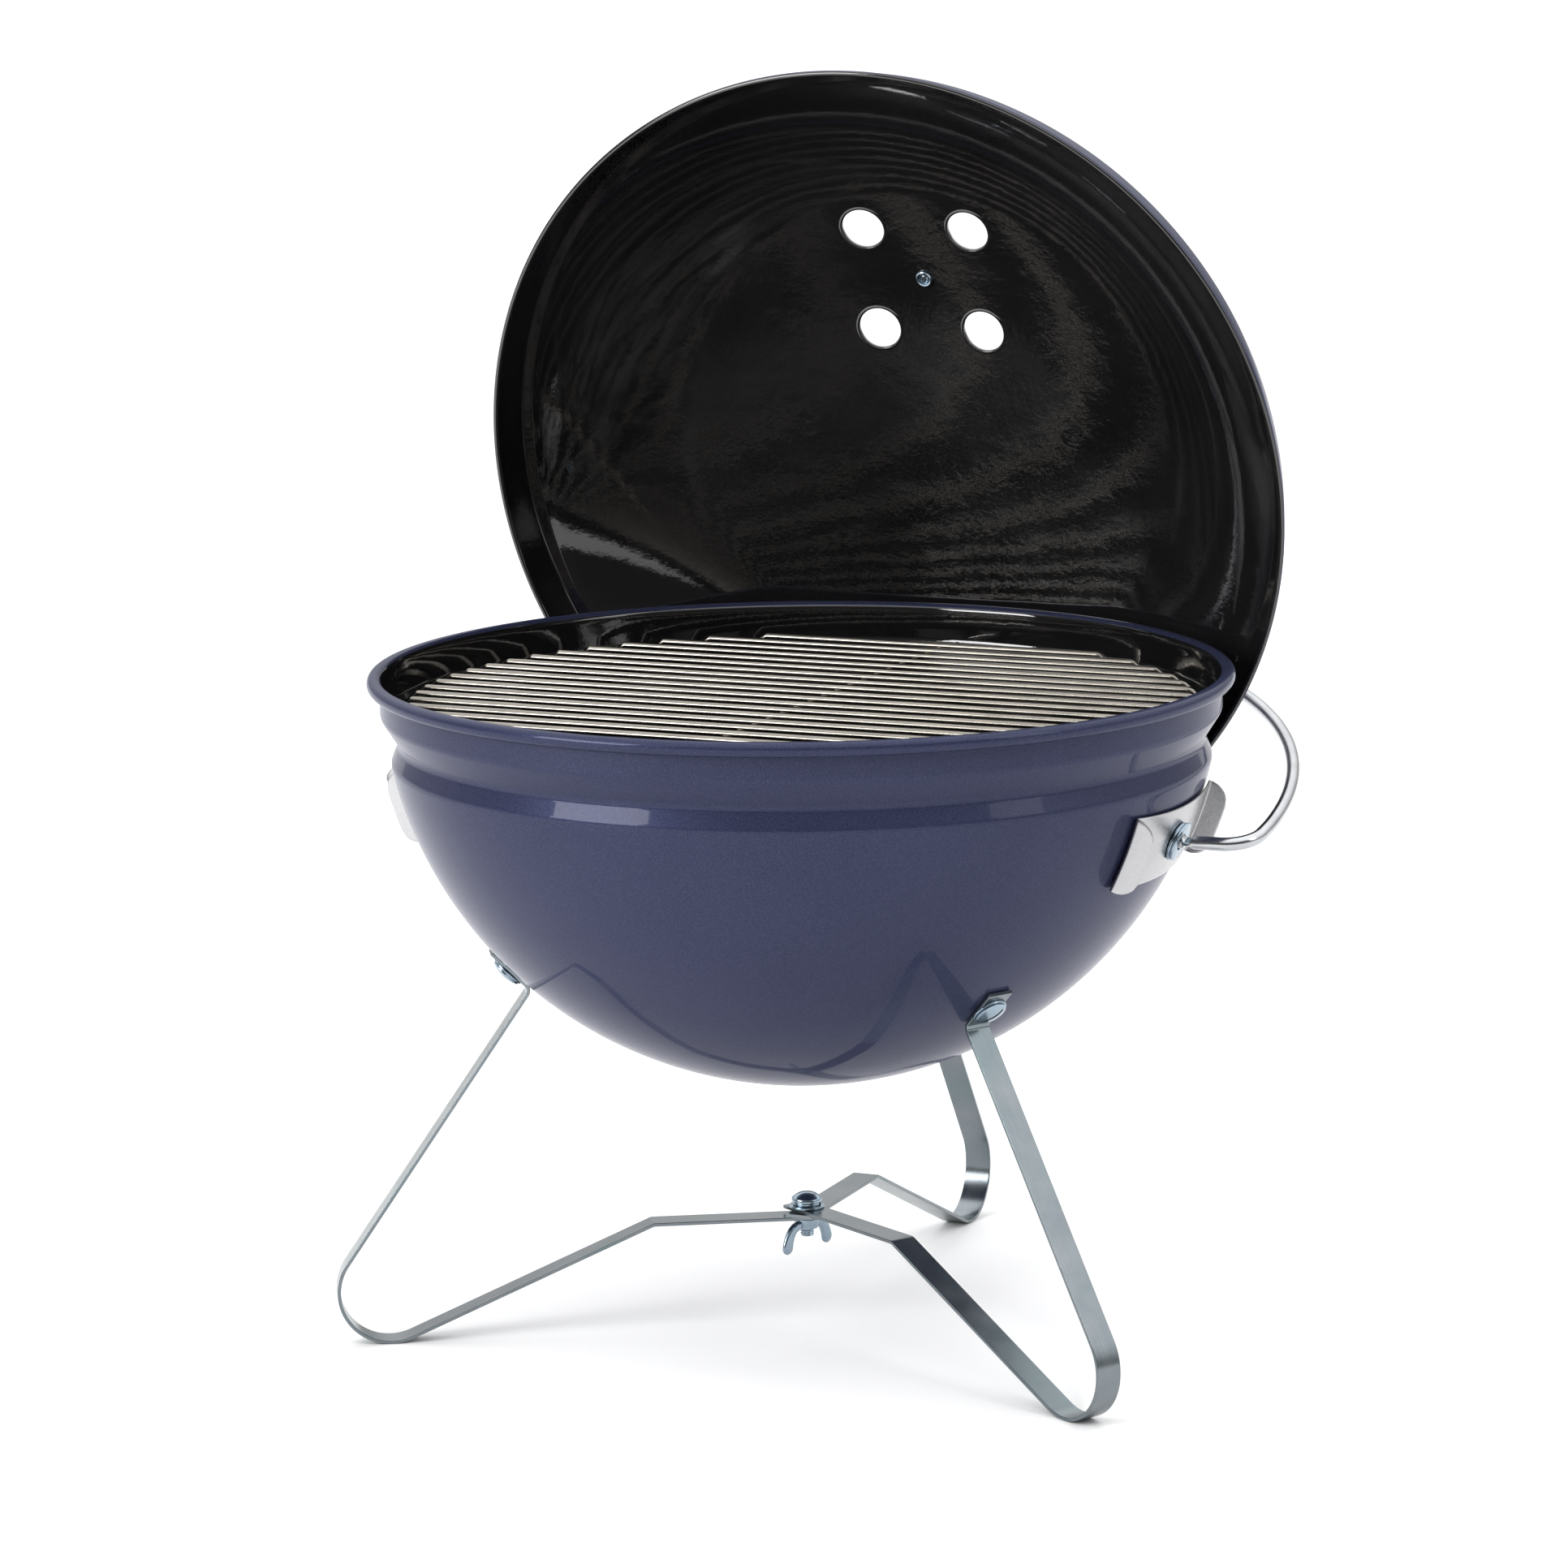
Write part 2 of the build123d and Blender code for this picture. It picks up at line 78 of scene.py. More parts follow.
# Pivots, bail and side dampers
PIVOT_HEIGHT = 224.0
WIRE = 2.9
HOOP_RADIUS = 201.8
HOOP_OFFSET = 22.6
HOOP_TILT = 12.0              # degrees up from level, towards the back
BAIL_END = 157.0
BAIL_BEND = 14.0
EARS = (160.35, 174.15)       # where the wire is flattened, each side
EAR_HALF = 1.35
PLATE_INSIDE = 179.4          # radius of the plates' inner face
PLATE_SHEET = 0.9
PLATE_LENGTH = 92.0
PLATE_HEIGHT = 33.0
LIP_HEIGHT = 10.0
LIP_CORNER = 8.0
PIVOT_HOLE = 3.6
WASHER_PLACES = (176.65, 181.0, 182.35)  # from the bowl's centre to each washer's middle
PIVOT_WASHER = (8.5, PIVOT_HOLE, 1.3)

# Washers: outer radius, hole, thickness. Nut: across flats, hole, height. Heads: radius, height.
# Shanks: radius, pitch.
LEG_WASHER = (7.5, 2.7, 1.0)
LEG_NUT = (8.0, 2.5, 4.0)
LEG_HEAD = (6.8, 2.6)
M5_SHANK = (2.45, 0.8)
SHANK_INSIDE = 5.5
CENTRE_WASHER = (7.6, 3.2, 1.2)
CENTRE_SPRING = (6.2, 3.2, 1.5)
CENTRE_HEAD = (6.6, 4.2)
M6_SHANK = (2.95, 1.0)
SHANK_LOW = 39.0
HANDLE_HEAD = (4.6, 3.0)
HANDLE_SPRING = (4.8, 2.7, 1.2)
SCREW_HOLE = 2.7
RIVET_HOLE = 2.28

# Grates
BARS = 21
BAR_SPACING = 14.78
BAR_WIRE = 1.75
BAR_HEIGHT = 274.32
BAR_REACH = 170.5
BAR_DROP = 4.2
BAR_SLOPE = 5.0
RING_WIRE = 2.5
RING_RADIUS = 171.0
RING_HEIGHT = 266.14
CROSSBAR = (4.0, 270.37)      # sideways place and height
COAL_RING = 130.0
COAL_BARS = 13
COAL_SPACING = 18.0
COAL_WIRE = 2.0

# Lid, in its own frame: +Z out of the dome, +Y down as it hangs
LID_PLACE = (-5.4, 100.25, 353.5)
LID_LEAN = 12.6               # degrees from level up to the dome's axis
LID_RIM = 186.5
LID_SKIRT = (181.0, 18.0)     # radius and height where the skirt ends
LID_STEP = (177.0, 20.5)      # radius and height where the dome starts
LID_DEPTH = 81.0
LID_SPHERE = 410.0
LID_SHOULDER = 120.0
LID_HEM = 1.3
LID_VENTS = 70.3              # from the lid's axis to the rivet
LID_VENT_HALF = 25.0
LID_VENT = 9.8
DAMPER_RADIUS = 48.0
DAMPER_SHEET = 0.8
BRIDGE_HEIGHT = 22.0
BRIDGE_HALF = 54.0
BRACKET = 1.5
BRACKET_WIDTH = 22.0
FOOT_PLACE = 65.0
FOOT_HALF = 9.0
SHIELD = (30.0, 26.5)         # half length and half width
SHIELD_SHEET = 0.8
SHIELD_LIP = 4.0
HANDLE_SCREW = 18.0


# ---- paths

def unit(vector):
    return vector / np.linalg.norm(vector)


def arc(centre, radius, start, finish, step=4.0):
    """Points of a plane arc between two angles."""
    count = max(2, ceil(abs(finish - start) / step) + 1)
    turns = np.radians(np.linspace(start, finish, count))
    return [(centre[0] + radius * cos(a), centre[1] + radius * sin(a)) for a in turns]


def rounded(points, radii, step=8.0):
    """A polyline with its inner corners rounded, in two or three dimensions."""
    points = [np.array(p, float) for p in points]
    if np.isscalar(radii):
        radii = [radii] * (len(points) - 2)
    path = [points[0]]
    for before, corner, after, radius in zip(points, points[1:], points[2:], radii):
        back = unit(before - corner)
        ahead = unit(after - corner)
        half = acos(max(-1.0, min(1.0, back @ ahead))) / 2
        turn = pi - 2 * half
        centre = corner + unit(back + ahead) * radius / sin(half)
        first = corner + back * radius / tan(half) - centre
        last = corner + ahead * radius / tan(half) - centre
        for t in np.linspace(0, 1, max(3, ceil(degrees(turn) / step) + 1)):
            path.append(centre + (sin((1 - t) * turn) * first + sin(t * turn) * last) / sin(turn))
    path.append(points[-1])
    return np.array(path)


def divided(points, longest):
    """The same path with its long runs divided."""
    path = [points[0]]
    for a, b in zip(points, points[1:]):
        count = max(1, ceil(np.linalg.norm(b - a) / longest))
        path.extend(a + (b - a) * t for t in np.linspace(0, 1, count + 1)[1:])
    return np.array(path)


def sheet_outline(path, thickness):
    """Both faces of a sheet about a plane path: out along its right side and back along its left."""
    path = np.array(path, float)
    step = np.gradient(path, axis=0)
    normal = np.stack([step[:, 1], -step[:, 0]], 1)
    normal /= np.linalg.norm(normal, axis=1)[:, None]
    right = path + normal * thickness / 2
    left = path - normal * thickness / 2
    tip = path[-1] + unit(step[-1]) * thickness * 0.35
    return list(right), [tip], list(left[::-1])


# ---- meshes

def build(name, vertices, faces, materials, face_material=None, smooth_angle=35.0, uv=None):
    """A mesh object from millimetre points."""
    mesh = bpy.data.meshes.new(name)
    mesh.from_pydata((np.array(vertices) * MM).tolist(), [], faces)
    for material in materials:
        mesh.materials.append(material)
    if face_material is not None:
        mesh.polygons.foreach_set("material_index", face_material)
    if uv is not None:
        layer = mesh.uv_layers.new(name="UVMap")
        loops = np.zeros(len(mesh.loops), np.int32)
        mesh.loops.foreach_get("vertex_index", loops)
        layer.data.foreach_set("uv", np.array(uv, float)[loops].ravel())
    work = bmesh.new()
    work.from_mesh(mesh)
    bmesh.ops.remove_doubles(work, verts=work.verts, dist=1e-7)
    bmesh.ops.recalc_face_normals(work, faces=work.faces)
    work.to_mesh(mesh)
    work.free()
    mesh.shade_smooth()
    mesh.set_sharp_from_angle(angle=radians(smooth_angle))
    piece = bpy.data.objects.new(name, mesh)
    bpy.context.scene.collection.objects.link(piece)
    return piece


def grid_faces(rows, columns, wrap_rows, wrap_columns):
    faces = []
    for i in range(rows if wrap_rows else rows - 1):
        for j in range(columns if wrap_columns else columns - 1):
            k = (i + 1) % rows
            m = (j + 1) % columns
            faces.append((i * columns + j, k * columns + j, k * columns + m, i * columns + m))
    return faces


def loft(name, rings, materials, smooth_angle=35.0):
    """A capped skin over closed rings, with the texture's u along it and v round it, in metres."""
    rings = np.array(rings, float)
    rows, columns, _ = rings.shape
    faces = grid_faces(rows, columns, False, True)
    faces.append(tuple(range(columns)))
    faces.append(tuple((rows - 1) * columns + j for j in range(columns)))
    middle = rings.mean(axis=1)
    along = np.concatenate([[0], np.cumsum(np.linalg.norm(np.diff(middle, axis=0), axis=1))])
    around = np.concatenate([[0], np.cumsum(np.linalg.norm(np.diff(rings, axis=1), axis=2).mean(0))])
    uv = [(along[i] * MM, around[j] * MM) for i in range(rows) for j in range(columns)]
    return build(name, rings.reshape(-1, 3), faces, materials, smooth_angle=smooth_angle, uv=uv)


def lathe(name, profile, materials, split=None, segments=192, closed=False, smooth_angle=35.0):
    """Turns (radius, height) points about Z; the split's run of faces takes the first material."""
    profile = np.array(profile, float)
    turns = np.linspace(0, 2 * pi, segments, endpoint=False)
    count = len(profile)
    points = [(r * cos(a), r * sin(a), z) for a in turns for r, z in profile]
    faces = grid_faces(segments, count, True, closed)
    pick = None
    if split is not None:
        across = count if closed else count - 1
        pick = np.tile([0 if split[0] <= j < split[1] else 1 for j in range(across)], segments)
    return build(name, points, faces, materials, pick, smooth_angle)


def turned(name, section, materials, segments=96, smooth_angle=35.0):
    """Turns a closed section about Z that may change with the angle."""
    turns = np.linspace(0, 2 * pi, segments, endpoint=False)
    sections = [section(a) for a in turns]
    count = len(sections[0])
    points = [(r * cos(a), r * sin(a), z) for a, rows in zip(turns, sections) for r, z in rows]
    faces = grid_faces(segments, count, True, True)
    return build(name, points, faces, materials, smooth_angle=smooth_angle)


def place(piece, matrix):
    """Moves a piece's mesh, not its object; the matrix is in millimetres."""
    matrix = matrix.copy()
    matrix.translation = matrix.translation * MM
    piece.data.transform(matrix)
    piece.data.update()
    return piece


def join(name, pieces):
    """One object from several, keeping their materials."""
    work = bmesh.new()
    materials = []
    for piece in pieces:
        start = len(work.faces)
        work.from_mesh(piece.data)
        work.faces.ensure_lookup_table()
        table = []
        for material in piece.data.materials:
            if material not in materials:
                materials.append(material)
            table.append(materials.index(material))
        for face in work.faces[start:]:
            face.material_index = table[face.material_index] if table else 0
    mesh = bpy.data.meshes.new(name)
    work.to_mesh(mesh)
    work.free()
    for material in materials:
        mesh.materials.append(material)
    for piece in pieces:
        bpy.data.objects.remove(piece)
    joined = bpy.data.objects.new(name, mesh)
    bpy.context.scene.collection.objects.link(joined)
    return joined


def apply_modifiers(piece):
    graph = bpy.context.evaluated_depsgraph_get()
    mesh = bpy.data.meshes.new_from_object(piece.evaluated_get(graph))
    piece.modifiers.clear()
    piece.data = mesh


def cut(piece, cutters, smooth_angle=35.0):
    """Takes the cutters out of a piece; the cut faces take the cutter's material index."""
    for cutter in cutters:
        modifier = piece.modifiers.new("cut", "BOOLEAN")
        modifier.operation = "DIFFERENCE"
        modifier.solver = "EXACT"
        modifier.object = cutter
    apply_modifiers(piece)
    for cutter in cutters:
        bpy.data.objects.remove(cutter)
    piece.data.set_sharp_from_angle(angle=radians(smooth_angle))
    return piece


def drill(radius, length, matrix, materials, index=0, sides=96):
    """A round cutter along the matrix's Z, centred on it."""
    profile = [(0, -length / 2), (radius, -length / 2), (radius, length / 2), (0, length / 2)]
    cutter = lathe("cutter", profile, materials, segments=sides)
    cutter.data.polygons.foreach_set("material_index", [index] * len(cutter.data.polygons))
    return place(cutter, matrix)


def tube(name, path, radius, materials, sides=20, size=None):
    """A round wire along a 3-D path, with rounded ends; size gives the half-axes at each point."""
    path = np.array(path, float)
    tangent = np.array([unit(v) for v in np.gradient(path, axis=0)])
    side = np.cross(tangent[0], (0.0, 0.0, 1.0))
    if np.linalg.norm(side) < 0.1:
        side = np.cross(tangent[0], (0.0, 1.0, 0.0))
    side = unit(side)
    turns = np.linspace(0, 2 * pi, sides, endpoint=False)
    rings = []
    for point, ahead in zip(path, tangent):
        side = unit(side - ahead * (side @ ahead))
        up = np.cross(ahead, side)
        a, b = size(point) if size else (radius, radius)
        rings.append([point + side * a * cos(t) + up * b * sin(t) for t in turns])
    rings = [*end_rings(rings[0], path[0], -tangent[0], radius)[::-1], *rings]
    rings += end_rings(rings[-1], path[-1], tangent[-1], radius)
    return loft(name, rings, materials)


def end_rings(ring, point, outwards, radius):
    """Rings that round a wire's cut end a little."""
    ring = np.array(ring)
    soft = 0.25 * radius
    rings = []
    for t in (30, 60, 90):
        shrink = 1 - 0.25 * (1 - cos(radians(t)))
        rings.append(point + (ring - point) * shrink + outwards * soft * sin(radians(t)))
    return rings


def strip_rings(path, width, thickness, soft=0.25):
    """Rings of a flat strip's rounded section about a path drawn in the XZ plane."""
    path = np.array(path, float)
    step = np.gradient(path, axis=0)
    half_w = width / 2 - soft
    half_t = thickness / 2 - soft
    corners = [(half_w, half_t, 0), (-half_w, half_t, 90), (-half_w, -half_t, 180), (half_w, -half_t, 270)]
    section = []
    for w, t, start in corners:
        c = cos(radians(start))
        s = sin(radians(start))
        section.append((w + soft * c + FLAT_EDGE * s, t + soft * s - FLAT_EDGE * c))
        section += arc((w, t), soft, start, start + 90, 30.0)
        section.append((w - soft * s - FLAT_EDGE * c, t + soft * c - FLAT_EDGE * s))
    rings = []
    for point, ahead in zip(path, step):
        ahead = unit(ahead)
        normal = np.array((-ahead[1], ahead[0]))
        ring = [(point[0] + normal[0] * t, w, point[1] + normal[1] * t) for w, t in section]
        rings.append(ring)
    return rings


def finished(piece, body, slot, *nodes):
    """A finished piece rides on its body and stands for its nodes."""
    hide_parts(*nodes)
    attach(piece, body)


# ---- places

def move(x=0.0, y=0.0, z=0.0):
    return Matrix.Translation((x, y, z))


def turn(degrees_, axis):
    return Matrix.Rotation(radians(degrees_), 4, axis)


def sphere_point(angle, radius):
    """A point about the bowl's centre, at an angle from straight down."""
    return np.array((radius * sin(radians(angle)), BOWL_CENTRE - radius * cos(radians(angle))))


def tab_frame(azimuth):
    """+Z points out of the bowl through the middle of a leg's tab."""
    return move(z=BOWL_CENTRE) @ turn(azimuth, "Z") @ turn(180 - TAB_ANGLE, "Y")


PIVOT_ANGLE = degrees(asin((BOWL_CENTRE - PIVOT_HEIGHT) / (PLATE_INSIDE + PLATE_SHEET / 2)))


def pivot_frame(side):
    """+Z points out of the bowl through the middle of a side damper."""
    return move(z=BOWL_CENTRE) @ turn(side * (90 + PIVOT_ANGLE), "Y")


def wire_pass(distance):
    """Where the bail's wire passes, in the pivot frame."""
    drop = BOWL_CENTRE - PIVOT_HEIGHT
    tilt = radians(PIVOT_ANGLE)
    reach = (distance - drop * sin(tilt)) / cos(tilt)
    return drop * cos(tilt) - reach * sin(tilt)


LID_FRAME = move(*LID_PLACE) @ turn(LID_LEAN - 90, "X")
VENT_TURN = move(z=LID_DEPTH - LID_SPHERE) @ turn(degrees(asin(LID_VENTS / LID_SPHERE)), "X")
VENT_FRAME = LID_FRAME @ VENT_TURN


def on_dome(x, y):
    """A turn of the vent frame that puts +Z along the dome's normal at (x, y)."""
    return turn(degrees(asin(x / LID_SPHERE)), "Y") @ turn(-degrees(asin(y / LID_SPHERE)), "X")


VENT_SIDES = (-LID_VENT_HALF, LID_VENT_HALF)
VENT_CORNERS = [on_dome(x, y) for x in VENT_SIDES for y in VENT_SIDES]


# ---- materials

class Shader:
    """A material's node tree, with short calls for the nodes used here."""

    def __init__(self, name):
        self.material = bpy.data.materials.new(name)
        self.material.use_nodes = True
        self.tree = self.material.node_tree
        self.surface = self.tree.nodes["Principled BSDF"]

    def node(self, kind, **settings):
        made = self.tree.nodes.new(kind)
        for key, value in settings.items():
            setattr(made, key, value)
        return made

    def link(self, source, target):
        self.tree.links.new(source, target)

    def set(self, **values):
        for key, value in values.items():
            self.surface.inputs[key.replace("_", " ")].default_value = value

    def coordinates(self, kind="Object", scale=(1, 1, 1)):
        source = self.node("ShaderNodeTexCoord")
        mapping = self.node("ShaderNodeMapping")
        mapping.inputs["Scale"].default_value = scale
        self.link(source.outputs[kind], mapping.inputs["Vector"])
        return mapping.outputs["Vector"]

    def noise(self, vector, scale, detail=3.0, roughness=0.5):
        made = self.node("ShaderNodeTexNoise")
        made.inputs["Scale"].default_value = scale
        made.inputs["Detail"].default_value = detail
        made.inputs["Roughness"].default_value = roughness
        self.link(vector, made.inputs["Vector"])
        return made.outputs["Fac"]

    def span(self, value, low, high, to_low, to_high):
        made = self.node("ShaderNodeMapRange")
        made.inputs["From Min"].default_value = low
        made.inputs["From Max"].default_value = high
        made.inputs["To Min"].default_value = to_low
        made.inputs["To Max"].default_value = to_high
        self.link(value, made.inputs["Value"])
        return made.outputs["Result"]

    def blend(self, factor, first, second):
        made = self.node("ShaderNodeMix", data_type="RGBA")
        inputs = [s for s in made.inputs if s.type == "RGBA"]
        for socket, value in zip(inputs, (first, second)):
            if isinstance(value, tuple):
                socket.default_value = (*value, 1.0)
            else:
                self.link(value, socket)
        self.link(factor, made.inputs["Factor"])
        return [s for s in made.outputs if s.type == "RGBA"][0]

    def bump(self, *layers):
        """Stacks bumps, each (height, strength, distance)."""
        normal = None
        for height, strength, distance in layers:
            made = self.node("ShaderNodeBump")
            made.inputs["Strength"].default_value = strength
            made.inputs["Distance"].default_value = distance
            self.link(height, made.inputs["Height"])
            if normal is not None:
                self.link(normal, made.inputs["Normal"])
            normal = made.outputs["Normal"]
        self.link(normal, self.surface.inputs["Normal"])


def blue_enamel():
    """Glossy slate-blue enamel with a fine metallic grain."""
    s = Shader("blue_enamel")
    at = s.coordinates()
    cloud = s.span(s.noise(at, 9.0, 3.0), 0.35, 0.65, 0.0, 1.0)
    grain = s.span(s.noise(at, 2400.0, 1.0), 0.42, 0.7, 0.0, 1.0)
    base = s.blend(cloud, (0.02, 0.0235, 0.055), (0.0245, 0.0285, 0.064))
    flecked = s.blend(s.span(grain, 0.0, 1.0, 0.0, 0.3), base, (0.085, 0.095, 0.155))
    s.link(flecked, s.surface.inputs["Base Color"])
    s.link(s.span(cloud, 0.0, 1.0, 0.38, 0.44), s.surface.inputs["Roughness"])
    s.set(Metallic=0.35, IOR=1.2, Specular_Tint=(0.3, 0.33, 0.5, 1.0))
    s.set(Coat_Weight=0.42, Coat_Roughness=0.04, Coat_IOR=1.33)
    peel = s.noise(at, 420.0, 2.0)
    s.bump((grain, 0.02, 0.0002), (peel, 0.05, 0.0002))
    return s.material


def black_enamel():
    """Deep glossy black with a slight orange-peel surface."""
    s = Shader("black_enamel")
    at = s.coordinates()
    cloud = s.noise(at, 14.0, 4.0, 0.6)
    base = s.blend(s.span(cloud, 0.35, 0.65, 0.0, 1.0), (0.006, 0.0058, 0.0062), (0.0095, 0.009, 0.0095))
    s.link(base, s.surface.inputs["Base Color"])
    s.link(s.span(cloud, 0.3, 0.7, 0.015, 0.045), s.surface.inputs["Roughness"])
    s.set(IOR=1.7)
    peel = s.noise(at, 480.0, 3.0, 0.6)
    wave = s.noise(at, 70.0, 2.0)
    s.bump((wave, 0.2, 0.0003), (peel, 0.3, 0.00006))
    return s.material


def streaked_metal(name, light, dark, rough, tint=None, bump=0.05):
    """Metal with fine drawn lines along the texture's u, and blotches."""
    s = Shader(name)
    across = s.coordinates("UV", (30.0, 3000.0, 1.0))
    at = s.coordinates()
    lines = s.noise(across, 1.0, 3.0, 0.6)
    blotch = s.noise(at, 55.0, 4.0, 0.55)
    base = s.blend(s.span(blotch, 0.35, 0.65, 0.0, 1.0), dark, light)
    base = s.blend(s.span(lines, 0.3, 0.75, 0.0, 0.35), base, tuple(min(1.0, 1.35 * c) for c in light))
    if tint:
        wide = s.span(s.noise(at, 22.0, 2.0), 0.45, 0.62, 0.0, 0.5)
        base = s.blend(wide, base, tint)
    s.link(base, s.surface.inputs["Base Color"])
    mixed = s.node("ShaderNodeMath", operation="MULTIPLY_ADD")
    mixed.inputs[1].default_value = 0.12
    s.link(lines, mixed.inputs[0])
    s.link(s.span(blotch, 0.3, 0.7, rough[0], rough[1]), mixed.inputs[2])
    s.link(mixed.outputs[0], s.surface.inputs["Roughness"])
    s.set(Metallic=1.0)
    s.bump((lines, bump, 0.0002), (blotch, bump, 0.0006))
    return s.material


def nylon():
    s = Shader("black_nylon")
    at = s.coordinates()
    grain = s.noise(at, 1500.0, 3.0, 0.6)
    cloud = s.noise(at, 30.0, 3.0)
    base = s.blend(s.span(cloud, 0.35, 0.65, 0.0, 1.0), (0.012, 0.012, 0.013), (0.02, 0.02, 0.021))
    s.link(base, s.surface.inputs["Base Color"])
    s.link(s.span(grain, 0.3, 0.7, 0.38, 0.52), s.surface.inputs["Roughness"])
    s.bump((grain, 0.2, 0.0002))
    return s.material


BLUE = blue_enamel()
BLACK = black_enamel()
ZINC = streaked_metal("zinc", (0.2, 0.22, 0.235), (0.155, 0.18, 0.195), (0.12, 0.19),
                      tint=(0.14, 0.19, 0.2), bump=0.02)
BOLT = streaked_metal("bolt_zinc", (0.3, 0.37, 0.43), (0.2, 0.26, 0.32), (0.12, 0.22))
STEEL = streaked_metal("bail_steel", (0.42, 0.43, 0.445), (0.33, 0.34, 0.355), (0.08, 0.16))
ALUMINIUM = streaked_metal("aluminium", (0.4, 0.4, 0.41), (0.34, 0.34, 0.35), (0.18, 0.28), bump=0.03)
GRATE = streaked_metal("plated_wire", (0.22, 0.205, 0.18), (0.165, 0.153, 0.137), (0.06, 0.16))
NYLON = nylon()


# ---- bowl

CURL = arc(BEAD_CENTRE, BEAD_SHEET_RADIUS, 180, BEAD_END, 8.0)
BLACK_CURL_FACES = 5


def bowl_path():
    """The middle of the bowl's sheet, from the axis up to the curled rim."""
    middle = BOWL_RADIUS - SHEET / 2
    belly = [sphere_point(a, middle) for a in np.linspace(0, SPHERE_END - 3, 60)]
    half = SHEET / 2
    corners = [sphere_point(SPHERE_END, middle), np.array(GROOVE) + (-half, 0.0)]
    corners += [np.array((middle, NECK_START)), np.array((middle, BEAD_CENTRE[1] - 2))]
    shoulder = rounded([belly[-1], *corners], NECK_BEND, 5.0)
    return np.array([*belly[:-1], *shoulder, *CURL])


def make_bowl():
    outside, tip, inside = sheet_outline(bowl_path(), SHEET)
    outside[0] = (0.0, outside[0][1])
    inside[-1] = (0.0, inside[-1][1])
    # Blue goes up the outside and over the curl, almost down to where the curl starts.
    blue = len(outside) + len(tip) + len(CURL) - BLACK_CURL_FACES
    return lathe("bowl_shell", [*outside, *tip, *inside], [BLUE, BLACK], split=(0, blue), segments=256)


finished(make_bowl(), "base", "blue_enamel", "bowl")


# ---- lid

LID_BLUE_START = 20           # the hem's points before this one are curled in and black
DENTS_END = 165.0
DENTS_FADE = 30.0


def lid_path():
    """The middle of the lid's sheet, from the curled hem up to the axis."""
    middle = SHEET / 2
    hem = arc((LID_RIM - LID_HEM, LID_HEM), LID_HEM - middle, -230, 0, 10.0)
    skirt = np.array(LID_SKIRT) - (middle, 0.0)
    step = np.array(LID_STEP) - (middle, 0.3)
    base = LID_DEPTH - LID_SPHERE
    rise = LID_STEP[1] - base
    far = hypot(LID_STEP[0], rise)
    reach = LID_SPHERE - LID_SHOULDER
    spread = acos((reach ** 2 + far ** 2 - LID_SHOULDER ** 2) / (2 * reach * far))
    lean = atan2(LID_STEP[0], rise) - spread
    centre = (reach * sin(lean), base + reach * cos(lean))
    first = degrees(atan2(LID_STEP[1] - centre[1], LID_STEP[0] - centre[0])) + 1.5
    shoulder = arc(centre, LID_SHOULDER - middle, first, 90 - degrees(lean), 1.2)
    crown = arc((0, base), LID_SPHERE - middle, 90 - degrees(lean), 90, 0.35)
    bends = rounded([np.array(hem[-1]), skirt, step, np.array(shoulder[0])], [3.0, 2.0], 6.0)
    return np.array([*hem[:-1], *bends[:-1], *shoulder, *crown[1:]])


def dent(x, y):
    """Height of the dome's small unevenness in its own frame: long waves and two weld marks."""
    wave = 0.018 * sin(x / 9.0 + 1.5 * sin(y / 23.0)) * sin(y / 11.0 + 0.8) + 0.02 * sin((x + y) / 19.0)
    for side in (-1, 1):
        away = hypot(x - side * FOOT_PLACE, y - 1.5)
        wave += 0.16 * cos(away * 0.9) * max(0.0, 1 - away / 8.0) ** 2
    return wave


def vent_lip():
    """The sheet's rounded edge round a vent, drawn in a little on the black side."""
    section = [(11.9, -0.42), (11.2, -0.62), (10.5, -0.95), (9.95, -0.98), (9.65, -0.7),
               (9.55, -0.2), (9.6, 0.3), (9.8, 0.58), (10.4, 0.62), (11.2, 0.46)]
    return lathe("lip", section, [BLACK], segments=96, closed=True, smooth_angle=60.0)


def make_lid():
    right, tip, left = sheet_outline(lid_path(), SHEET)
    right[-1] = (0.0, right[-1][1])
    left[0] = (0.0, left[0][1])
    profile = [*right, *left]
    blue = (LID_BLUE_START, len(right) - 1)
    lid = lathe("lid_shell", profile, [BLUE, BLACK], split=blue, segments=384, closed=True)
    for vertex in lid.data.vertices:
        x, y, z = vertex.co / MM
        fade = max(0.0, min(1.0, (DENTS_END - hypot(x, y)) / DENTS_FADE))
        vertex.co.z += dent(x, y) * fade * MM
    at = move(z=LID_SPHERE)
    cutters = [drill(LID_VENT, 12, VENT_TURN @ c @ at, [BLUE, BLACK], 1) for c in VENT_CORNERS]
    cut(lid, cutters)
    lips = [place(vent_lip(), VENT_TURN @ c @ move(z=LID_SPHERE - SHEET / 2)) for c in VENT_CORNERS]
    return place(join("lid_shell", [lid, *lips]), LID_FRAME)


finished(make_lid(), "lid", "blue_enamel", "lid")


# ---- legs

def tab_point(along, out):
    """A place on a leg's tab: along the bowl's wall from the screw, and out from the wall."""
    angle = radians(TAB_ANGLE)
    return sphere_point(TAB_ANGLE, BOWL_RADIUS + GAP + out) + np.array((cos(angle), sin(angle))) * along


def foot_touch(point, side, radius):
    """The angle at which a straight run from a point meets the foot's bend."""
    dx = point[0] - FOOT_RING
    dy = point[1] - FOOT_RADIUS
    return degrees(atan2(dy, dx)) + side * degrees(acos(radius / hypot(dx, dy)))


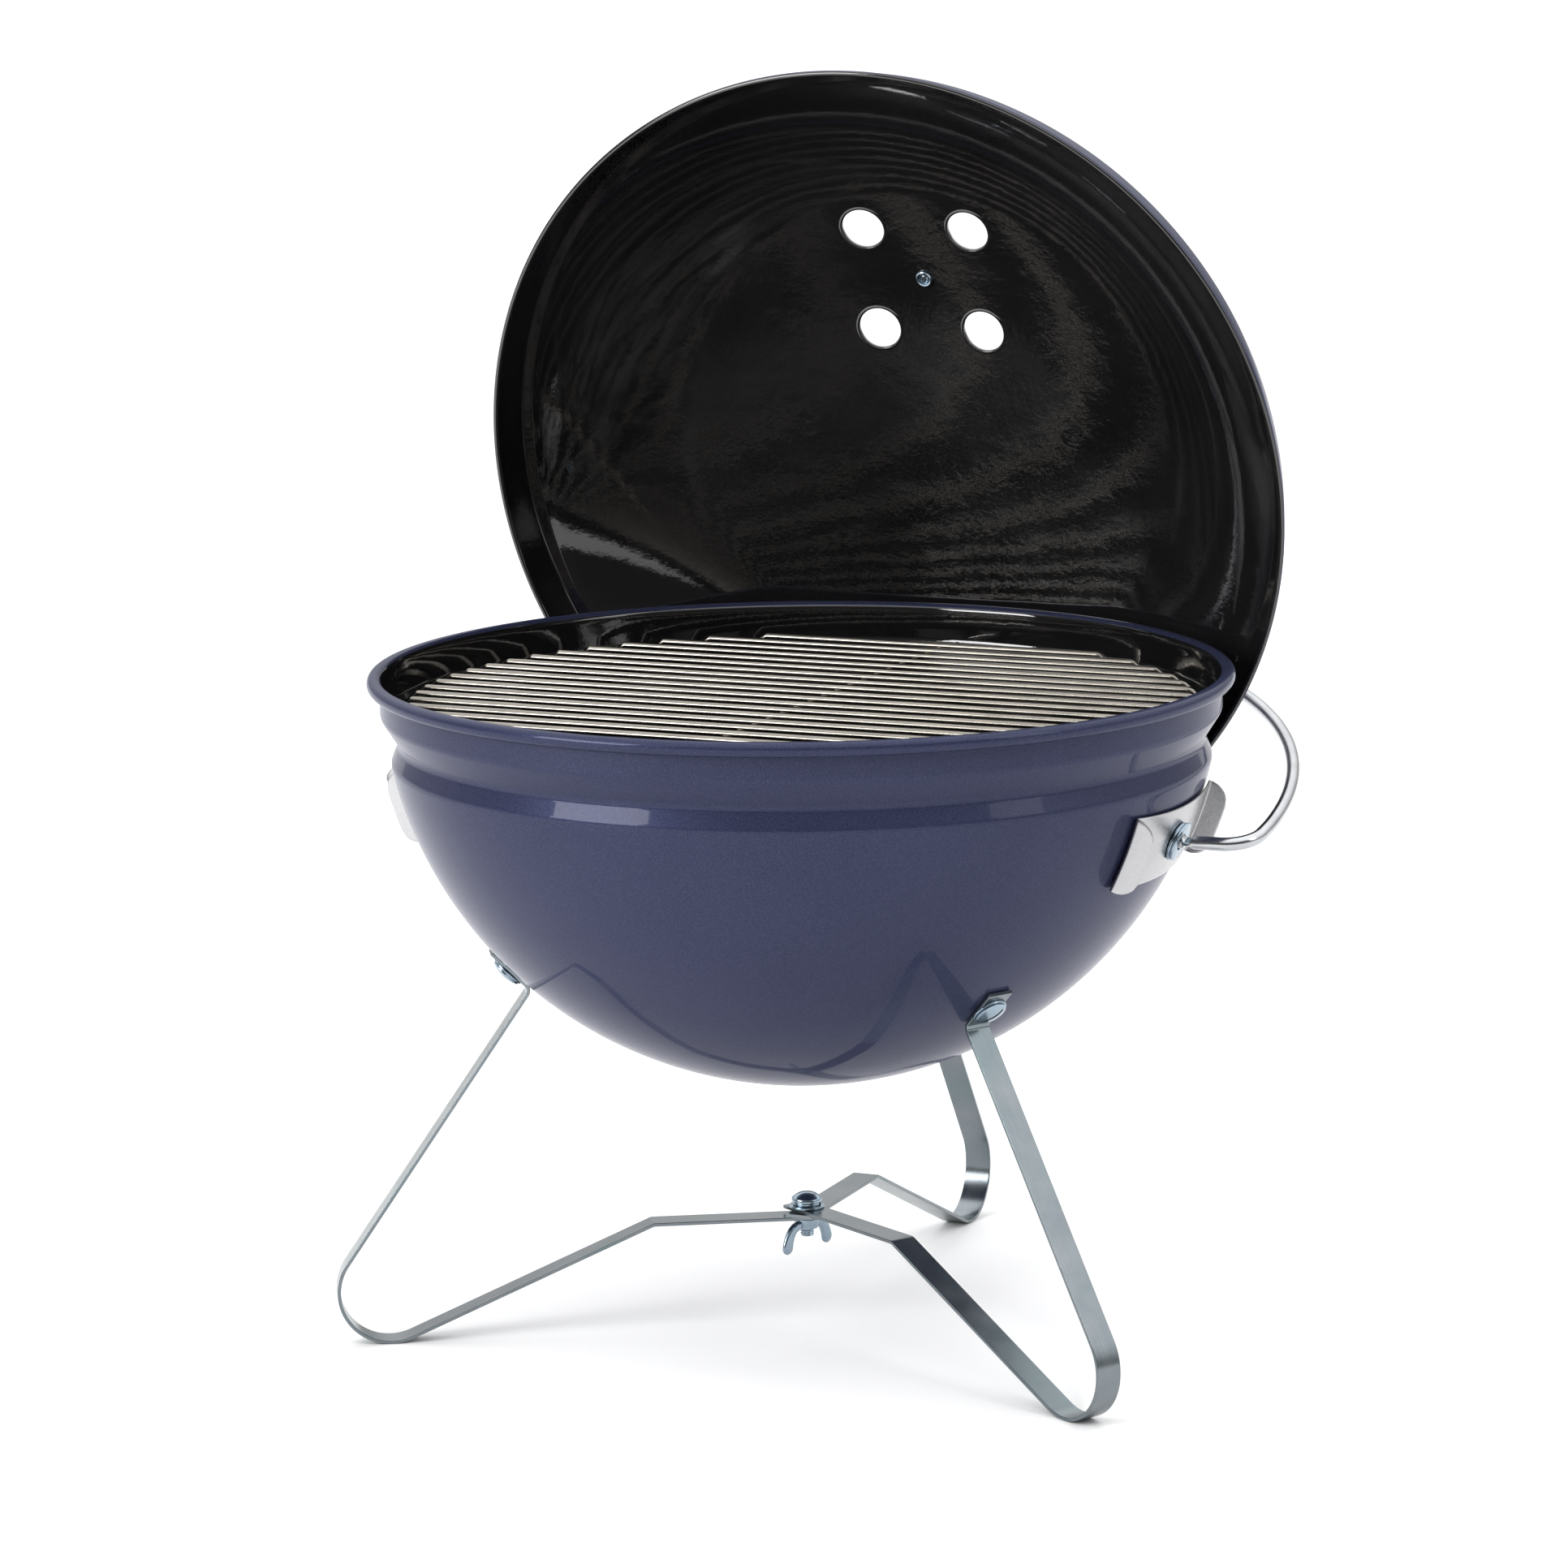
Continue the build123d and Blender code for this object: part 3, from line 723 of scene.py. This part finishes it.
def make_leg(name, azimuth, level):
    """Strip from the centre out to the foot, round it and up to the tab on the bowl."""
    height = KNEE_HEIGHT + level * STRIP_PITCH + STRIP / 2
    radius = FOOT_RADIUS - STRIP / 2
    knee = (KNEE, height)
    low = tab_point(-TAB_BELOW, STRIP / 2)
    start = foot_touch(knee, 1, radius)
    finish = foot_touch(low, -1, radius) + 360
    foot = arc((FOOT_RING, FOOT_RADIUS), radius, start, finish, 5.0)
    inner = rounded([(-INNER_END, height), knee, foot[0]], STRIP_BEND + STRIP / 2)
    outer = rounded([foot[-1], low, tab_point(TAB_ABOVE, STRIP / 2)], STRIP_BEND + STRIP / 2)
    path = divided(np.array([*inner[:-1], *foot, *outer[1:]]), 20.0)
    leg = loft(name + "_strip", strip_rings(path, STRIP_WIDTH, STRIP), [ZINC])
    return place(leg, turn(azimuth, "Z"))


for leg_name, (leg_azimuth, leg_level) in LEGS.items():
    finished(make_leg(leg_name, leg_azimuth, leg_level), "base", "zinc", leg_name)


# ---- bail

def bail_size(point):
    """Half-axes of the wire: flattened into ears beside the washers."""
    nearest = min(abs(abs(point[0]) - ear) for ear in EARS)
    if abs(point[1]) > 1:
        return (WIRE, WIRE)
    flat = max(0.0, min(1.0, (EAR_HALF + 0.8 - nearest) / 0.9))
    return (WIRE + 1.0 * flat, WIRE - 1.6 * flat)


def make_bail():
    corner = sqrt(HOOP_RADIUS ** 2 - HOOP_OFFSET ** 2)
    start = degrees(atan2(-HOOP_OFFSET, corner))
    hoop = arc((0, HOOP_OFFSET), HOOP_RADIUS, start, 180 - start, 1.5)
    ring = [p for p in hoop if p[1] > BAIL_BEND * 1.4]
    right = rounded([(BAIL_END, 0), (corner, 0), ring[0]], BAIL_BEND, 6.0)
    flat = [np.array((x, 0.0)) for x in np.arange(BAIL_END + 0.3, BAIL_END + 20, 0.35)]
    half = [right[0], *flat, *right[1:]]
    ring = [p for p in ring if p[1] > right[-1][1] + 0.1]
    left = [(-p[0], p[1]) for p in reversed(half)]
    path = [(p[0], p[1], 0.0) for p in [*half, *ring, *left]]
    bail = tube("bail_wire", path, WIRE, [STEEL], sides=28, size=bail_size)
    return place(bail, move(z=PIVOT_HEIGHT) @ turn(HOOP_TILT, "X"))


finished(make_bail(), "bail", "zinc", "bail")


# ---- grates

def torus_wire(name, radius, wire, height, materials, segments=192):
    section = arc((radius, height), wire, 0, 360, 15.0)[:-1]
    return lathe(name, section, materials, segments=segments, closed=True)


def make_cooking_grate():
    parts = [torus_wire("ring", RING_RADIUS, RING_WIRE, RING_HEIGHT, [GRATE])]
    reach = BAR_REACH - 0.5
    cross = [(CROSSBAR[0], y, CROSSBAR[1]) for y in np.linspace(-reach, reach, 30)]
    parts.append(tube("cross", cross, RING_WIRE, [GRATE]))
    for index in range(BARS):
        y = (index - (BARS - 1) / 2) * BAR_SPACING
        half = sqrt(BAR_REACH ** 2 - y ** 2)
        low = BAR_HEIGHT - BAR_DROP
        bend = half - BAR_SLOPE
        corners = [(-half, y, low), (-bend, y, BAR_HEIGHT), (bend, y, BAR_HEIGHT), (half, y, low)]
        path = divided(rounded(corners, 2.2), 25.0)
        parts.append(tube("bar", path, BAR_WIRE, [GRATE], sides=16))
    return join("cooking_grate_wires", parts)


def make_charcoal_grate():
    """Straight bars lie on the ring, which rests in the bowl."""
    low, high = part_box("charcoal_grate")
    ring_height = low.z / MM + RING_WIRE
    bar_height = high.z / MM - COAL_WIRE
    parts = [torus_wire("ring", COAL_RING, RING_WIRE, ring_height, [GRATE])]
    for index in range(COAL_BARS):
        y = (index - (COAL_BARS - 1) / 2) * COAL_SPACING
        half = sqrt(COAL_RING ** 2 - y ** 2) - 0.6
        path = [(x, y, bar_height) for x in np.linspace(-half, half, 12)]
        parts.append(tube("bar", path, COAL_WIRE, [GRATE], sides=14))
    return join("charcoal_grate_wires", parts)


finished(make_cooking_grate(), "cooking_grate", "plated_wire", "cooking_grate")
finished(make_charcoal_grate(), "charcoal_grate", "zinc", "charcoal_grate")


# ---- screws, washers and nuts

def washer(name, outer, hole, thickness, materials):
    """Flat washer on Z = 0, with its edges slightly rounded by the punch."""
    soft = min(0.3, thickness / 3)
    section = [(hole, soft / 2), (hole + soft / 2, 0), (outer - soft, 0), (outer - soft * 0.3, soft * 0.3),
               (outer, soft), (outer, thickness - soft), (outer - soft * 0.3, thickness - soft * 0.3),
               (outer - soft, thickness), (hole + soft / 2, thickness), (hole, thickness - soft / 2)]
    return lathe(name, section, materials, segments=96, closed=True)


def lock_washer(name, outer, hole, thickness, materials):
    """Spring washer: one turn of a square section, with its ends a little apart."""
    rings = []
    for angle in np.linspace(8, 352, 70):
        rise = 0.25 * (angle - 180) / 180
        ring = [(hole, 0.12), (outer - 0.1, 0.1), (outer, 0.25), (outer, thickness - 0.25),
                (outer - 0.1, thickness - 0.1), (hole, thickness - 0.12)]
        a = radians(angle)
        rings.append([(r * cos(a), r * sin(a), z + rise * 0.3) for r, z in ring])
    return loft(name, rings, materials)


def slotted_head(name, radius, height, materials, slot=(1.3, 1.1)):
    """Domed screw head on Z = 0, with a milled slot along X."""
    edge = 0.35 * height
    rise = height - edge
    ball = (radius ** 2 + rise ** 2) / (2 * rise)
    half = degrees(asin((radius - 0.25) / ball))
    turns = np.radians(np.linspace(half, 0, 22))
    dome = [(ball * sin(a), height - ball + ball * cos(a)) for a in turns]
    profile = [(0, 0), (radius - 0.2, 0), (radius, 0.2), (radius, edge - 0.15), *dome[:-1], (0.0, height)]
    head = lathe(name, profile, materials, segments=96)
    width, depth = slot
    bottom = height - depth
    box = [(-width / 2, bottom), (width / 2, bottom), (width / 2, height + 2), (-width / 2, height + 2)]
    rings = [[(x, y, z) for y, z in box] for x in (-radius - 2, radius + 2)]
    return cut(head, [loft("cutter", rings, materials)])


def threaded(name, radius, pitch, low, high, materials):
    """Threaded shank between two heights, with real thread ridges."""
    depth = 0.3 * pitch
    levels = np.arange(low + 0.4, high, pitch / 6)

    def section(angle):
        rows = [(0.01, low), (radius - depth * 1.6, low)]
        for z in levels:
            phase = (z / pitch - angle / (2 * pi)) % 1.0
            rows.append((radius - depth * abs(2 * phase - 1), z))
        return [*rows, (radius - depth, high), (0.01, high)]

    return turned(name, section, materials, segments=48, smooth_angle=50.0)


def hex_nut(name, across, hole, height, materials):
    """Hexagonal nut on Z = 0 with turned corners."""
    apothem = across / 2
    corner = apothem / cos(pi / 6)

    def section(angle):
        flat = apothem / cos((angle + pi / 6) % (pi / 3) - pi / 6)
        low = min(flat, corner - 0.55)
        return [(hole, 0.3), (hole + 0.3, 0), (low - 0.02, 0), (flat, 0.45 * (flat > low) + 0.01),
                (flat, height - 0.45 * (flat > low) - 0.01), (low - 0.02, height), (hole + 0.3, height),
                (hole, height - 0.3)]

    return turned(name, section, materials, segments=72, smooth_angle=30.0)


def leg_fasteners():
    """Screw, washer and nut on each leg's tab."""
    screws, washers, nuts = [], [], []
    outside = BOWL_RADIUS + STRIP + 2 * GAP
    seat = outside + LEG_WASHER[2] + GAP
    inside = BOWL_RADIUS - SHEET
    for leg, (azimuth, level) in LEGS.items():
        at = tab_frame(azimuth)
        slot_turn = turn(35 + 50 * level, "Z")
        head = place(slotted_head("head", *LEG_HEAD, [BOLT]), at @ move(z=seat) @ slot_turn)
        shank = place(threaded("shank", *M5_SHANK, inside - SHANK_INSIDE, seat, [BOLT]), at)
        screws += [head, shank]
        washers.append(place(washer("washer", *LEG_WASHER, [BOLT]), at @ move(z=outside)))
        nuts.append(place(hex_nut("nut", *LEG_NUT, [BOLT]), at @ move(z=inside - LEG_NUT[2] - 0.1)))
    finished(join("leg_screw_set", screws), "base", "zinc", "leg_screws")
    finished(join("leg_washer_set", washers), "base", "zinc", "leg_washers")
    finished(join("leg_nut_set", nuts), "base", "zinc", "leg_nuts")


leg_fasteners()

STRIPS_TOP = KNEE_HEIGHT + 2 * STRIP_PITCH + STRIP
flat_washer = washer("centre_washer", *CENTRE_WASHER, [BOLT])
finished(place(flat_washer, move(z=STRIPS_TOP + GAP)), "base", "zinc", "centre_flat_washer")
spring_washer = lock_washer("centre_spring_washer", *CENTRE_SPRING, [BOLT])
spring_low = STRIPS_TOP + CENTRE_WASHER[2] + 2 * GAP
finished(place(spring_washer, move(z=spring_low)), "base", "zinc", "centre_lock_washer")
centre_seat = spring_low + CENTRE_SPRING[2] + GAP
centre_head = place(slotted_head("head", *CENTRE_HEAD, [BOLT]), move(z=centre_seat) @ turn(25, "Z"))
centre_shank = threaded("shank", *M6_SHANK, SHANK_LOW, centre_seat, [BOLT])
finished(join("centre_screw", [centre_head, centre_shank]), "base", "zinc", "centre_bolt")


# ---- wing nut

def wing_rings(side):
    """One ear: out from the hub's side, then bent down to a round tip."""
    root = np.array((3.6, -2.6))
    elbow = np.array((11.2, -1.9))
    tip = np.array((13.0, -11.1))
    rings = []
    length = 12.0
    tip_radius = 3.0
    last = 1 + tip_radius / length
    for t in [*np.linspace(0, 1, 16), *(1 + (last - 1) * np.sin(np.radians((15, 30, 45, 60, 75, 88))))]:
        past = max(0.0, t - 1) * length
        u = min(t, 1.0)
        ahead = unit((1 - u) * (elbow - root) + u * (tip - elbow))
        across = np.array((-ahead[1], ahead[0]))
        centre = (1 - u) ** 2 * root + 2 * u * (1 - u) * elbow + u ** 2 * tip + ahead * past
        broad = sqrt(max(0.02, tip_radius ** 2 - past ** 2)) if past else 1.7 + 1.3 * u ** 1.3
        thick = (1.7 - 0.6 * u) * sqrt(max(0.1, 1 - (past / 3.15) ** 2))
        ring = []
        for a in np.linspace(0, 2 * pi, 20, endpoint=False):
            w = broad * np.sign(cos(a)) * abs(cos(a)) ** 0.7
            h = thick * np.sign(sin(a)) * abs(sin(a)) ** 0.7
            flat = centre + across * w
            ring.append((side * flat[0], h, flat[1]))
        rings.append(ring)
    return rings


def make_wing_nut():
    section = [(3.05, -0.4), (3.5, 0), (5.3, 0), (5.6, -0.3), (5.6, -1.2), (5.1, -3.9), (4.6, -4.45),
               (4.3, -4.5), (3.4, -4.5), (3.05, -4.2)]
    parts = [lathe("hub", section, [BOLT], segments=72, closed=True)]
    parts += [loft("wing", wing_rings(side), [BOLT], smooth_angle=60.0) for side in (-1, 1)]
    nut = join("wing_nut_casting", parts)
    return place(nut, move(z=KNEE_HEIGHT - GAP) @ turn(73, "Z"))


finished(make_wing_nut(), "wing_nut", "zinc", "wing_nut")


# ---- side dampers and their washers

def plate_rows():
    """Stations along a damper plate: (place along it, rise above the shell)."""
    half = PLATE_LENGTH / 2 - PLATE_SHEET / 2
    bend = 1.4
    flat = half - bend
    rows = []
    for run in np.linspace(LIP_HEIGHT - bend, 0, 12):
        rows.append((-half, bend + run))
    for a in np.linspace(75, 15, 5):
        rows.append((-flat - bend * sin(radians(a)), bend - bend * cos(radians(a))))
    for y in np.linspace(-flat, flat, 36):
        rows.append((y, 0.0))
    for a in np.linspace(15, 75, 5):
        rows.append((flat + bend * sin(radians(a)), bend - bend * cos(radians(a))))
    for run in np.linspace(0, LIP_HEIGHT - bend, 12):
        rows.append((half, bend + run))
    return rows


def make_damper_plate(name, side):
    """A curved sheet with a lip at each end whose free corners are rounded."""
    rows = plate_rows()
    middle = PLATE_INSIDE + PLATE_SHEET / 2
    columns = 21
    points, uv = [], []
    run = 0.0
    before = None
    for y, rise in rows:
        left = LIP_HEIGHT - rise
        half = PLATE_HEIGHT / 2
        if left < LIP_CORNER:
            half += sqrt(max(0.0, LIP_CORNER ** 2 - (LIP_CORNER - left) ** 2)) - LIP_CORNER
        run += 0.0 if before is None else hypot(y - before[0], rise - before[1])
        before = (y, rise)
        for t in np.linspace(-1, 1, columns):
            x = half * t
            z = sqrt(middle ** 2 - x ** 2 - y ** 2) + rise
            points.append((x, y, z))
            uv.append((run * MM, x * MM))
    faces = grid_faces(len(rows), columns, False, False)
    plate = build(name, points, faces, [ALUMINIUM], smooth_angle=50.0, uv=uv)
    thick = plate.modifiers.new("thick", "SOLIDIFY")
    thick.thickness = (PLATE_SHEET - 0.02) * MM
    thick.offset = 0.0
    edge = plate.modifiers.new("edge", "BEVEL")
    edge.width = 0.15 * MM
    edge.segments = 2
    edge.limit_method = "ANGLE"
    edge.angle_limit = radians(60)
    apply_modifiers(plate)
    plate.data.set_sharp_from_angle(angle=radians(50))
    cutter = drill(PIVOT_HOLE, 20, move(z=middle), [ALUMINIUM])
    cut(plate, [cutter], 50.0)
    return place(plate, pivot_frame(side))


def pivot_washers(side):
    parts = []
    for distance in WASHER_PLACES:
        at = pivot_frame(side) @ move(side * wire_pass(distance), 0, distance - PIVOT_WASHER[2] / 2)
        parts.append(place(washer("washer", *PIVOT_WASHER, [BOLT]), at))
    return join("pivot_washer_set", parts)


for side_name, side in (("left", -1), ("right", 1)):
    finished(make_damper_plate(side_name + "_damper_plate", side), side_name + "_damper", "aluminium",
             side_name + "_damper")
    washers = pivot_washers(side)
    washers.name = "pivot_washer_set_" + side_name
    finished(washers, "base", "zinc", "pivot_washers_" + side_name)


# ---- lid damper and rivet

def make_lid_damper():
    """Round sheet on the dome with four holes and a bent-up tab."""
    inside = LID_SPHERE + 0.3
    outside = inside + DAMPER_SHEET
    edge = degrees(asin(DAMPER_RADIUS / outside))
    turns = np.radians(np.linspace(0, edge - 0.06, 30))
    upper = [(outside * sin(a), outside * cos(a)) for a in turns]
    lower = [(inside * sin(a), inside * cos(a)) for a in reversed(turns)]
    rim = [(DAMPER_RADIUS, inside * cos(radians(edge)) + DAMPER_SHEET / 2)]
    disc = lathe("disc", [*upper, *rim, *lower], [ALUMINIUM], segments=192)
    cutters = [drill(LID_VENT, 12, c @ move(z=inside), [ALUMINIUM]) for c in VENT_CORNERS]
    cutters.append(drill(RIVET_HOLE, 20, move(z=inside), [ALUMINIUM]))
    cut(disc, cutters)
    root = sqrt(inside ** 2 - (DAMPER_RADIUS - 2) ** 2)
    foot = (DAMPER_RADIUS - 4.0, root + 0.9)
    bend = (DAMPER_RADIUS - 0.6, root + 0.2)
    top = (DAMPER_RADIUS - 0.4, root + 9.2)
    path = rounded([foot, bend, top], 1.2, 8.0)
    tab = loft("tab", strip_rings(divided(path, 3.0), 14.0, DAMPER_SHEET, 0.2), [ALUMINIUM])
    place(tab, turn(-90, "Z"))
    return place(join("lid_damper_disc", [disc, tab]), VENT_FRAME)


def make_rivet():
    """Tubular rivet: a cupped ring inside the lid, a dome outside."""
    low = LID_SPHERE - SHEET - 0.05
    high = LID_SPHERE + 0.3 + DAMPER_SHEET + 0.05
    cup = [(0, low - 0.75), (1.3, low - 0.7), (1.9, low - 0.15), (2.35, low - 0.1), (2.7, low - 1.1),
           (3.2, low - 1.3), (3.75, low - 1.0), (4.0, low - 0.45), (3.9, low)]
    shank = [(2.2, low), (2.2, high)]
    dome = [(4.0 * sin(radians(a)), high + 1.3 * cos(radians(a))) for a in np.linspace(90, 0, 12)]
    rivet = lathe("lid_rivet", [*cup, *shank, *dome], [BOLT], segments=72)
    return place(rivet, VENT_FRAME)


finished(make_lid_damper(), "lid_damper", "aluminium", "lid_damper")
finished(make_rivet(), "lid", "zinc", "lid_damper_rivet")


# ---- lid handle

BRIDGE_TOP = LID_DEPTH + BRIDGE_HEIGHT
GRIP_BASE = BRIDGE_TOP + SHIELD_SHEET + 2 * GAP
SEAT = BRIDGE_TOP - BRACKET - GAP
GRIP_HALF = 56.0
GRIP_END = 7.0
GRIP_MIDDLE = 26.0
PEDESTAL = 20.0
SHANK_IN_GRIP = 16.0


def make_bracket():
    """A strap with two feet on the dome."""
    lean = asin(FOOT_PLACE / LID_SPHERE)
    radius = LID_SPHERE + GAP + BRACKET / 2
    foot = np.array((radius * sin(lean), LID_DEPTH - LID_SPHERE + radius * cos(lean)))
    slope = np.array((cos(lean), -sin(lean))) * FOOT_HALF
    right = [np.array((BRIDGE_HALF, BRIDGE_TOP - BRACKET / 2)), foot - slope, foot + slope]
    left = [np.array((-p[0], p[1])) for p in reversed(right)]
    path = divided(rounded([*left, *right], 2.75), 8.0)
    strap = loft("handle_strap", strip_rings(path, BRACKET_WIDTH, BRACKET), [ZINC])
    cutters = [drill(SCREW_HOLE, 10, move(side * HANDLE_SCREW, 0, BRIDGE_TOP), [ZINC]) for side in (-1, 1)]
    return place(cut(strap, cutters), LID_FRAME)


def make_shield():
    """Thin plate under the grip, with rounded corners and turned-down long edges."""
    half_length, half_width = SHIELD
    flat = half_width - SHIELD_LIP
    middle = BRIDGE_TOP + GAP + SHIELD_SHEET / 2
    corner = 4.0
    columns = 25
    line = [(-half_width, -SHIELD_LIP), (-flat, 0), (flat, 0), (half_width, -SHIELD_LIP)]
    rows = divided(rounded(line, 2.4, 12.0), 3.0)
    points, uv = [], []
    for y, drop in rows:
        near = half_width - abs(y)
        half = half_length
        if near < corner:
            half += sqrt(max(0.0, corner ** 2 - (corner - near) ** 2)) - corner
        for t in np.linspace(-1, 1, columns):
            points.append((half * t, y, middle + drop))
            uv.append((half * t * MM, y * MM))
    faces = grid_faces(len(rows), columns, False, False)
    plate = build("heat_shield_plate", points, faces, [ALUMINIUM], uv=uv)
    thick = plate.modifiers.new("thick", "SOLIDIFY")
    thick.thickness = (SHIELD_SHEET - 0.02) * MM
    thick.offset = 0.0
    apply_modifiers(plate)
    plate.data.set_sharp_from_angle(angle=radians(40))
    cutters = [drill(SCREW_HOLE, 10, move(side * HANDLE_SCREW, 0, middle), [ALUMINIUM]) for side in (-1, 1)]
    return place(cut(plate, cutters), LID_FRAME)


def superellipse(half_x, half_y, power, count=48):
    """Points of a rounded rectangle."""
    points = []
    for a in np.linspace(0, 2 * pi, count, endpoint=False):
        x = half_x * np.sign(cos(a)) * abs(cos(a)) ** power
        y = half_y * np.sign(sin(a)) * abs(sin(a)) ** power
        points.append((x, y))
    return points


def make_grip():
    """Moulded bar on a waisted pedestal."""
    rings = []
    for t in np.linspace(-1, 1, 61):
        x = GRIP_HALF * t
        end = min(1.0, (1 - abs(t)) * GRIP_HALF / GRIP_END)
        shrink = sqrt(max(0.0, 1 - (1 - end) ** 2)) if end < 1 else 1.0
        swell = 1.0 - 0.08 * cos(pi * t) ** 2
        half_y = max(0.6, 12.0 * shrink * swell)
        half_z = max(0.5, 9.0 * shrink)
        rings.append([(x * 0.999, y, GRIP_MIDDLE + z) for y, z in superellipse(half_y, half_z, 0.55)])
    bar = loft("bar", rings, [NYLON], smooth_angle=60.0)
    rings = []
    for z in [0.0, 0.6, *np.linspace(2, PEDESTAL, 12)]:
        waist = 1 - 0.1 * sin(pi * min(1.0, z / PEDESTAL))
        soft = 0.97 if z == 0 else 1.0
        rings.append([(x, y, z) for x, y in superellipse(26.0 * waist * soft, 11.0 * waist * soft, 0.4)])
    pedestal = loft("pedestal", rings, [NYLON], smooth_angle=50.0)
    return place(join("lid_grip", [bar, pedestal]), LID_FRAME @ move(z=GRIP_BASE))


def handle_fasteners():
    screws, locks = [], []
    low = SEAT - HANDLE_SPRING[2]
    face = low - GAP
    for side in (-1, 1):
        at = LID_FRAME @ move(side * HANDLE_SCREW)
        flip = move(z=face) @ turn(180, "X") @ turn(20 * side, "Z")
        screws.append(place(slotted_head("head", *HANDLE_HEAD, [BOLT], (1.2, 1.0)), at @ flip))
        shank = threaded("shank", *M5_SHANK, face, GRIP_BASE + SHANK_IN_GRIP, [BOLT])
        screws.append(place(shank, at))
        locks.append(place(lock_washer("lock", *HANDLE_SPRING, [BOLT]), at @ move(z=low)))
    finished(join("handle_screw_set", screws), "lid", "zinc", "handle_screws")
    finished(join("handle_spring_washers", locks), "lid", "zinc", "handle_lock_washers")


finished(make_bracket(), "lid", "zinc", "handle_bracket")
finished(make_shield(), "lid", "aluminium", "heat_shield")
finished(make_grip(), "lid", "black_nylon", "lid_handle")
handle_fasteners()


# ---- floor, light and camera

def make_floor():
    s = Shader("floor")
    s.set(Base_Color=(0.9, 0.9, 0.9, 1.0), Roughness=0.6)
    half = 40.0
    corners = [(-half, -half, 0), (half, -half, 0), (half, half, 0), (-half, half, 0)]
    mesh = bpy.data.meshes.new("floor")
    mesh.from_pydata(corners, [], [(0, 1, 2, 3)])
    mesh.materials.append(s.material)
    floor = bpy.data.objects.new("floor", mesh)
    bpy.context.scene.collection.objects.link(floor)


def area_light(name, at, look, size, power):
    data = bpy.data.lights.new(name, "AREA")
    data.shape = "RECTANGLE"
    data.size, data.size_y = size
    data.energy = power
    light = bpy.data.objects.new(name, data)
    light.location = at
    light.rotation_euler = (Vector(look) - Vector(at)).to_track_quat("-Z", "Y").to_euler()
    bpy.context.scene.collection.objects.link(light)


def make_world():
    """A studio: bright overhead, grey towards the horizon and dark low down in front."""
    world = bpy.data.worlds.new("studio")
    bpy.context.scene.world = world
    world.use_nodes = True
    tree = world.node_tree
    where = tree.nodes.new("ShaderNodeTexCoord")
    split = tree.nodes.new("ShaderNodeSeparateXYZ")
    tree.links.new(where.outputs["Generated"], split.inputs[0])

    def fade(source, start, end, at_start, at_end):
        made = tree.nodes.new("ShaderNodeMapRange")
        made.interpolation_type = "SMOOTHSTEP"
        made.inputs["From Min"].default_value = start
        made.inputs["From Max"].default_value = end
        made.inputs["To Min"].default_value = at_start
        made.inputs["To Max"].default_value = at_end
        tree.links.new(source, made.inputs["Value"])
        return made.outputs["Result"]

    def multiply(first, second):
        made = tree.nodes.new("ShaderNodeMath")
        made.operation = "MULTIPLY"
        tree.links.new(first, made.inputs[0])
        tree.links.new(second, made.inputs[1])
        return made.outputs[0]

    overhead = fade(split.outputs["Z"], 0.05, 0.7, 0.5, 1.95)
    ahead = fade(split.outputs["Y"], 0.25, -0.45, 0.0, 1.0)
    level = fade(split.outputs["Z"], 0.8, 0.45, 0.0, 1.0)
    shade = fade(multiply(ahead, level), 0.0, 1.0, 1.0, 0.12)
    background = tree.nodes["Background"]
    background.inputs["Color"].default_value = (1, 1, 1, 1)
    tree.links.new(multiply(overhead, shade), background.inputs["Strength"])


def make_camera():
    data = bpy.data.cameras.new("camera")
    data.sensor_width = 36.0
    data.lens = 129.56
    camera = bpy.data.objects.new("camera", data)
    heading, pitch, roll = radians(23.44), radians(10.65), radians(-0.69)
    ahead = Vector((-sin(heading) * cos(pitch), cos(heading) * cos(pitch), -sin(pitch)))
    right = ahead.cross(Vector((0, 0, 1))).normalized()
    up = right.cross(ahead)
    leaned_right = right * cos(roll) + up * sin(roll)
    leaned_up = up * cos(roll) - right * sin(roll)
    matrix = Matrix((leaned_right, leaned_up, -ahead)).transposed().to_4x4()
    matrix.translation = (0.93266, -2.17045, 0.68174)
    camera.matrix_world = matrix
    bpy.context.scene.collection.objects.link(camera)
    bpy.context.scene.camera = camera


make_floor()
make_world()
make_camera()
area_light("key", (-1.7, -2.4, 1.35), (0, 0, 0.27), (1.5, 1.2), 70)
area_light("right", (2.3, -0.2, 1.5), (0, 0, 0.25), (0.7, 1.6), 8)
area_light("top", (0.0, 0.3, 3.0), (0, 0, 0.3), (2.5, 2.5), 6)
bpy.context.scene.view_settings.view_transform = "Standard"
